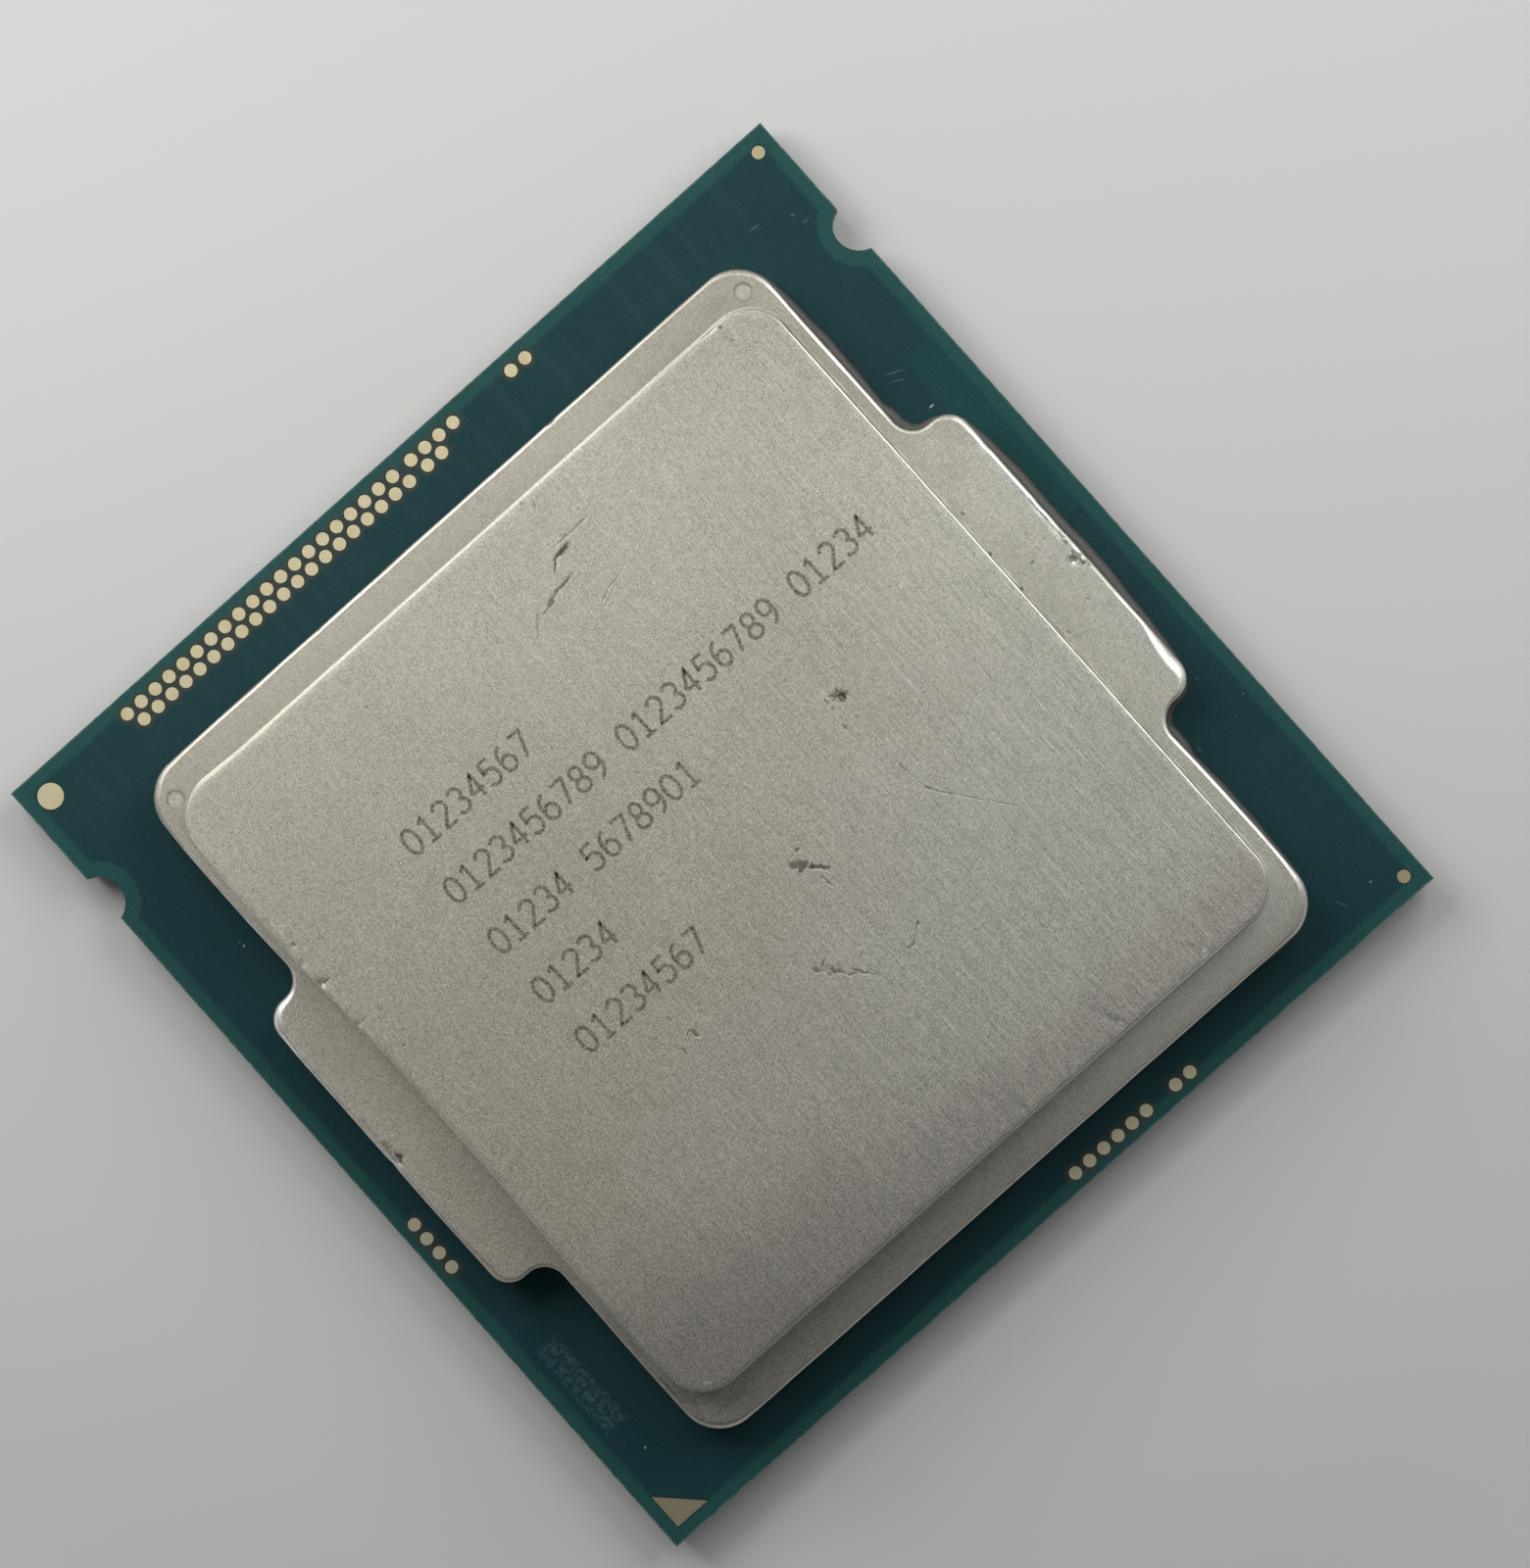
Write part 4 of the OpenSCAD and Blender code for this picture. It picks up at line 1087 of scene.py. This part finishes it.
def digits(material):
    """Rows of counting digits in thin strokes, a hair above the lid's top."""
    points = []
    faces = []
    for line_y, text in DIGIT_LINES:
        for place, letter in enumerate(text):
            corner = (DIGITS_LEFT + place * DIGIT_PITCH, line_y)
            for layer, stroke in enumerate(GLYPHS.get(letter, [])):
                edges = ribbon(dense(np.array(stroke) * DIGIT_HEIGHT), STROKE_WIDTH) + corner
                faces += skin(2, len(edges) // 2, first=len(points), whole=False)
                height = LID_TOP + MARK_LIFT + LAYER_LIFT * layer
                points += [(x, y, height) for x, y in edges]
    make_piece("lid_digits", points, faces, material, smooth=False)


# Sealant

# Sealant pressed out past the lid: x and y from the lid's middle, half length and reach
SQUEEZED = [
    (HALF_LID_W, 11.35, 4.3, 0.37),
    (HALF_LID_W, -11.45, 4.0, 0.31),
    (HALF_EARS, 0.0, 6.6, 0.42),
    (HALF_EARS, 4.0, 2.4, 0.09),
    (HALF_EARS, -1.2, 1.6, 0.06),
    (-HALF_LID_W, -12.55, 2.2, 0.25),
    (-HALF_EARS, -1.36, 1.7, 0.14),
    (11.9, HALF_LID_L, 2.6, 0.19),
    (-9.6, HALF_LID_L, 3.5, 0.2),
    (-4.0, HALF_LID_L, 3.5, 0.17),
    (2.4, HALF_LID_L, 5.5, 0.18),
    (12.7, -HALF_LID_L, 1.3, 0.23),
    (-9.0, -HALF_LID_L, 4.5, 0.14),
    (6.0, -HALF_LID_L, 3.2, 0.1),
    (HALF_LID_W + 0.3, HALF_EAR_L + 0.3, 1.5, 0.33),
    (HALF_LID_W + 0.3, -HALF_EAR_L - 0.3, 1.8, 0.3),
]


def lid_sealant(material):
    """The bead under the rim, open at the front vent, with a rounded skirt wherever it was pressed out."""
    flange = flange_loop()
    inset = BEAD_INSET + BEAD_W
    inner = rounded_loop(HALF_LID_W - inset, HALF_LID_L - inset, CAVITY_R)
    pressed = swell(flange, SQUEEZED, 0.6)
    reach = np.maximum(pressed + ripple(flange, 0.02, (31, 53, 77)), -0.02)
    reach = np.where(pressed > 0.02, reach, ripple(flange, 0.02, (19, 44)) - 0.05)
    height = SEAT + CLIMB * np.clip(reach / SQUEEZE_REACH, 0, 1) ** 0.5 - BOARD_TOP
    rings = [ring(inner, 0, BOARD_TOP)]
    for turn in np.radians(np.linspace(0, 90, 9)):
        out = np.where(reach > 0, reach * math.cos(turn) ** 0.8, reach)
        rings.append(ring(flange, out, BOARD_TOP + height * math.sin(turn)))
    rings += [ring(flange, -BEAD_INSET, SEAT), ring(inner, 0, SEAT)]

    # The strip starts and ends at the vent in the front
    in_vent = (flange[:, 1] < -HALF_LID_L + 0.5) & (np.abs(flange[:, 0]) < HALF_VENT)
    order = np.roll(np.arange(len(flange)), -(np.where(in_vent)[0].max() + 1))
    order = order[~in_vent[order]]
    count = len(order)
    points = np.vstack([r[order] for r in rings])
    points[:, 1] += LID_Y
    faces = skin(count, len(rings), closed=True, whole=False)
    starts = [i * count for i in range(len(rings))]
    faces += [starts, [start + count - 1 for start in reversed(starts)]]
    make_piece("sealant_bead", points, faces, material, ["lid_sealant"])


# Dark rings of bare laminate round the pads on the board's top

PAD_NODES = (
    "probe_pads_outer_row",
    "probe_pads_inner_row",
    "probe_pads_outer_four",
    "probe_pads_inner_pair",
    "probe_pads_lone_pair",
    "left_edge_pads",
    "front_edge_six_pads",
    "front_edge_pair_pads",
)
# Distances from a pad's edge at which its ring has points, and how many there are round it
SURROUND_STEPS = (0.035, 0.07, 0.11, 0.15, 0.19)
SURROUND_TURNS = 36
# Height of the rings above the board, and the gap between neighbours
SURROUND_LIFT = 0.001
SURROUND_GAP = 0.004


def pad_surrounds(material):
    """Patches of the board's own surface, a hair above it, whose points carry how near a pad they are."""
    pads = np.array([
        (*((low + high) / 2)[:2], (high[0] - low[0]) / 2)
        for node in PAD_NODES
        for low, high in solids_of(node)
    ])
    turns = np.radians(np.arange(SURROUND_TURNS) * 360 / SURROUND_TURNS)
    around = np.array([np.cos(turns), np.sin(turns)])
    fades = np.linspace(0.75, 0, len(SURROUND_STEPS))
    rings = []
    faces = []
    amounts = []
    for index, (x, y, radius) in enumerate(pads):
        faces += skin(SURROUND_TURNS, len(SURROUND_STEPS), first=len(rings) * SURROUND_TURNS)
        others = np.delete(pads[:, :2], index, axis=0) - (x, y)
        facing = np.maximum(others @ around, 1e-6)
        halfway = ((others ** 2).sum(axis=1)[:, None] / (2 * facing)).min(axis=0)
        between_pads = np.clip(1.3 - (halfway - radius) / SURROUND_STEPS[-1], 0, 1)
        for out, fade in zip(SURROUND_STEPS, fades):
            # A ring ends halfway to the next pad
            across, ahead = around * np.minimum(radius + out, halfway - SURROUND_GAP / 2)
            height = np.full(SURROUND_TURNS, BOARD_TOP + SURROUND_LIFT)
            rings.append(np.column_stack([x + across, y + ahead, height]))
            amounts.append(0.9 * np.maximum(fade, between_pads) ** 0.7)
    piece = make_piece("pad_surrounds", np.vstack(rings), faces, material)
    carry(piece, near_pad=np.concatenate(amounts))


# Capacitors on the underside

def rounded_blocks(name, node, material, bevel, unevenness):
    """A bevelled block in place of each solid of a node, each a little uneven."""
    shape = bmesh.new()
    for low, high in solids_of(node):
        size = Matrix.Diagonal((*(high - low), 1))
        place = Matrix.Translation(Vector((low + high) / 2)) @ size
        made = bmesh.ops.create_cube(shape, size=1, matrix=place)
        edges = list({edge for vertex in made["verts"] for edge in vertex.link_edges})
        bmesh.ops.bevel(shape, geom=edges, offset=bevel, segments=3, profile=0.5, affect="EDGES")
    points = np.array([v.co for v in shape.verts])
    normals = np.array([v.normal for v in shape.verts])
    faces = [[v.index for v in face.verts] for face in shape.faces]
    shape.free()
    inward = rng.uniform(0, unevenness, (len(points), 1))
    make_piece(name, points - normals * inward, faces, material, [node], sharp=60)


def solder_fillets(name, node, ends_node, material):
    """A concave fillet of solder from the board up each metal end, in place of each wedge."""
    points = []
    faces = []
    ends = solids_of(ends_node)
    for low, high in solids_of(node):
        end_low, end_high = min(ends, key=lambda box: np.abs((box[0] + box[1] - low - high)[:2]).sum())
        face_y, toe_y, back_y = end_low[1], low[1], end_high[1]
        if high[1] > end_high[1] + 0.01:
            face_y, toe_y, back_y = end_high[1], high[1], end_low[1]
        profile = [(back_y, high[2]), (back_y, end_high[2]), (face_y, end_high[2])]
        for turn in np.radians(np.linspace(0, 90, 9)):
            share = 1 - math.sin(turn)
            down = (high[2] - low[2]) * share * math.cos(turn * 0.35)
            profile.append((toe_y + (face_y - toe_y) * share, high[2] - down))
        first = len(points)
        slices = np.linspace(0, 1, 9)
        for share in slices:
            # Towards both sides the toe is drawn in
            drawn_in = 0.10 * (2 * share - 1) ** 4
            x = low[0] + share * (high[0] - low[0])
            for index, (y, z) in enumerate(profile):
                points.append((x, y - drawn_in * (y - face_y) if index > 2 else y, z))
        width = len(profile)
        faces += skin(width, len(slices), first)
        faces.append([first + k for k in range(width)])
        faces.append([first + (len(slices) - 1) * width + k for k in reversed(range(width))])
    make_piece(name, points, faces, material, [node], sharp=35)


# Studio: floor, sky, lamps and camera

FLOOR_REACH = 1.5
# The backdrop's brightness, and the distances in millimetres over which the floor goes over into it
BACKDROP = 0.58
BACKDROP_FROM = 33.0
BACKDROP_TO = 76.0
# The sky is brightest in one direction, and brighter again by so much near the horizon
SKY_TOWARD = (0.61, 0.75, 0.25)
SKY_FROM = -0.2
SKY_DIM = 0.06
SKY_BRIGHT = 0.36
SKY_LOW = 0.75
SOFTBOX_SIZE = 0.075
SOFTBOXES = [
    ("back_softbox", (-0.010, 0.085, 0.078), 5.9),
    ("right_softbox", (0.085, 0.010, 0.078), 4.2),
]
# The camera's place and its right, down and forward directions, in the part's frame
CAMERA_AT = (0.007953, -0.003064, 0.172729)
CAMERA_RIGHT = (0.746748, -0.664105, -0.036492)
CAMERA_DOWN = (-0.664364, -0.747383, 0.006255)
CAMERA_AHEAD = (-0.031428, 0.019573, -0.999314)
# Focal length in millimetres, for a frame so many millimetres high
LENS = 105.75
FRAME_HEIGHT = 36


def place_object(name, data):
    """A new object in the scene."""
    thing = bpy.data.objects.new(name, data)
    bpy.context.collection.objects.link(thing)
    return thing


def lay_floor():
    """A pale floor that goes over into the pale backdrop past the lamps' light."""
    mesh = bpy.data.meshes.new("floor")
    corners = [(FLOOR_REACH * x, FLOOR_REACH * y, 0) for x, y in ((-1, -1), (1, -1), (1, 1), (-1, 1))]
    mesh.from_pydata(corners, [], [(0, 1, 2, 3)])
    floor = place_object("floor", mesh)
    look = Look("floor_paper")
    look.set(Base_Color=(0.49, 0.492, 0.495), Roughness=0.9, Specular_IOR_Level=0.2)
    rays = look.node("LightPath")
    seen = look.most(rays["Is Camera Ray"], look.most(rays["Is Glossy Ray"], rays["Is Transmission Ray"]))
    far = look.ramp(look.vector("LENGTH", look.place), BACKDROP_FROM, BACKDROP_TO)
    backdrop = look.node("Emission", {"Color": (1, 1, 0.99), "Strength": BACKDROP})[0]
    blend = look.node("MixShader", (seen * far, look.shader.outputs[0], backdrop))[0]
    look.feed(look.nodes["Material Output"].inputs["Surface"], blend)
    mesh.materials.append(look.material)


def raise_sky():
    """A soft sky, brightest at the back right, that the camera sees as the plain backdrop."""
    world = bpy.data.worlds.new("sky")
    bpy.context.scene.world = world
    sky = Tree(world)
    facing = sky.node("TexCoord")["Generated"]
    level = sky.ramp(sky.vector("DOT_PRODUCT", facing, SKY_TOWARD), SKY_FROM, 1.0, SKY_DIM, SKY_BRIGHT)
    low = sky.ramp(sky.split(facing)[2], 0.6, 0.0, 0.0, SKY_LOW)
    seen = sky.node("LightPath")["Is Camera Ray"]
    shown = sky.node("Mix", {"Factor": seen, "A": level + low, "B": BACKDROP})[0]
    back = sky.nodes["Background"]
    sky.feed(back.inputs["Color"], (1, 0.995, 0.98))
    sky.feed(back.inputs["Strength"], shown)


def softbox(name, at, radiance):
    """A square area lamp, turned to the part, that the camera doesn't see."""
    lamp = bpy.data.lights.new(name, "AREA")
    lamp.shape = "SQUARE"
    lamp.size = SOFTBOX_SIZE
    lamp.energy = radiance * math.pi * SOFTBOX_SIZE * SOFTBOX_SIZE
    lamp.color = (1.0, 0.99, 0.965)
    holder = place_object(name, lamp)
    holder.location = at
    holder.rotation_euler = (-Vector(at)).to_track_quat("-Z", "Y").to_euler()
    holder.visible_camera = False


def camera():
    """The camera as it stood for the photo."""
    lens = bpy.data.cameras.new("camera")
    lens.sensor_fit = "VERTICAL"
    lens.sensor_height = FRAME_HEIGHT
    lens.sensor_width = FRAME_HEIGHT
    lens.lens = LENS
    lens.clip_start = 0.005
    lens.clip_end = 5
    eye = place_object("camera", lens)
    right, down, ahead = (Vector(v).normalized() for v in (CAMERA_RIGHT, CAMERA_DOWN, CAMERA_AHEAD))
    turn = Matrix((right, -down, -ahead)).transposed()
    eye.matrix_world = Matrix.Translation(CAMERA_AT) @ turn.to_4x4()
    bpy.context.scene.camera = eye


lay_floor()
raise_sky()
for softbox_values in SOFTBOXES:
    softbox(*softbox_values)
camera()

metal = lid_metal("lid_nickel")
heat_spreader(metal)
wear_marks(metal)
digits(lid_metal("lid_laser_strokes", engraved=True))
lid_sealant(sealant_rubber())

ceramic = dull("capacitor_ceramic", (0.23, 0.165, 0.095), (0.33, 0.25, 0.155), 2.5, 0.5)
tin = dull("capacitor_tin", (0.50, 0.50, 0.48), (0.66, 0.66, 0.64), 4.0, 0.26, metallic=1.0)
solder = dull("solder_tin", (0.58, 0.59, 0.60), (0.72, 0.73, 0.74), 3.0, 0.14, metallic=1.0, relief=0.002)
for size in ("large", "small"):
    ends = f"{size}_capacitor_ends"
    rounded_blocks(f"{size}_ceramics", f"{size}_capacitor_bodies", ceramic, 0.02, 0.004)
    rounded_blocks(f"{size}_tin_ends", ends, tin, 0.045, 0.006)
    solder_fillets(f"{size}_solder", f"{size}_capacitor_solder", ends, solder)

edge_gold = gold("edge_gold", (0.545, 0.52, 0.385), 0.35)
mask = board_mask()
pad_surrounds(mask)
# Finishes of single nodes. The small marks in the corners have lost most of their shine
own_finishes = {
    "small_alignment_marks": gold("mark_gold", (0.385, 0.345, 0.225), 0.6),
    "land_one_triangle": gold("dulled_gold", (0.37, 0.335, 0.235), 0.5),
    "left_edge_pads": edge_gold,
    "front_edge_six_pads": edge_gold,
    "front_edge_pair_pads": edge_gold,
}
# Finishes of all other nodes with these slots
finishes = {
    "board": mask,
    "gold_pad": gold("pad_gold", (0.52, 0.47, 0.32), 0.35),
    "gold_land": gold("land_gold", (0.66, 0.49, 0.21), 0.15),
    "silicon": dull("die_silicon", (0.028, 0.031, 0.038), (0.045, 0.048, 0.056), 1.0, 0.12, relief=0.0005),
    "underfill": dull("underfill_epoxy", (0.075, 0.08, 0.085), (0.11, 0.115, 0.12), 2.0, 0.35),
    "paste": dull("thermal_paste", (0.42, 0.43, 0.44), (0.52, 0.53, 0.54), 3.0, 0.65, relief=0.01),
}
for subpart in frame["record"]["subparts"]:
    finish = own_finishes.get(subpart["node"]) or finishes.get(subpart["material_slot"])
    if finish:
        mesh = frame["nodes"][subpart["node"]].data
        mesh.materials.clear()
        mesh.materials.append(finish)

view = bpy.context.scene.view_settings
view.view_transform = "Standard"
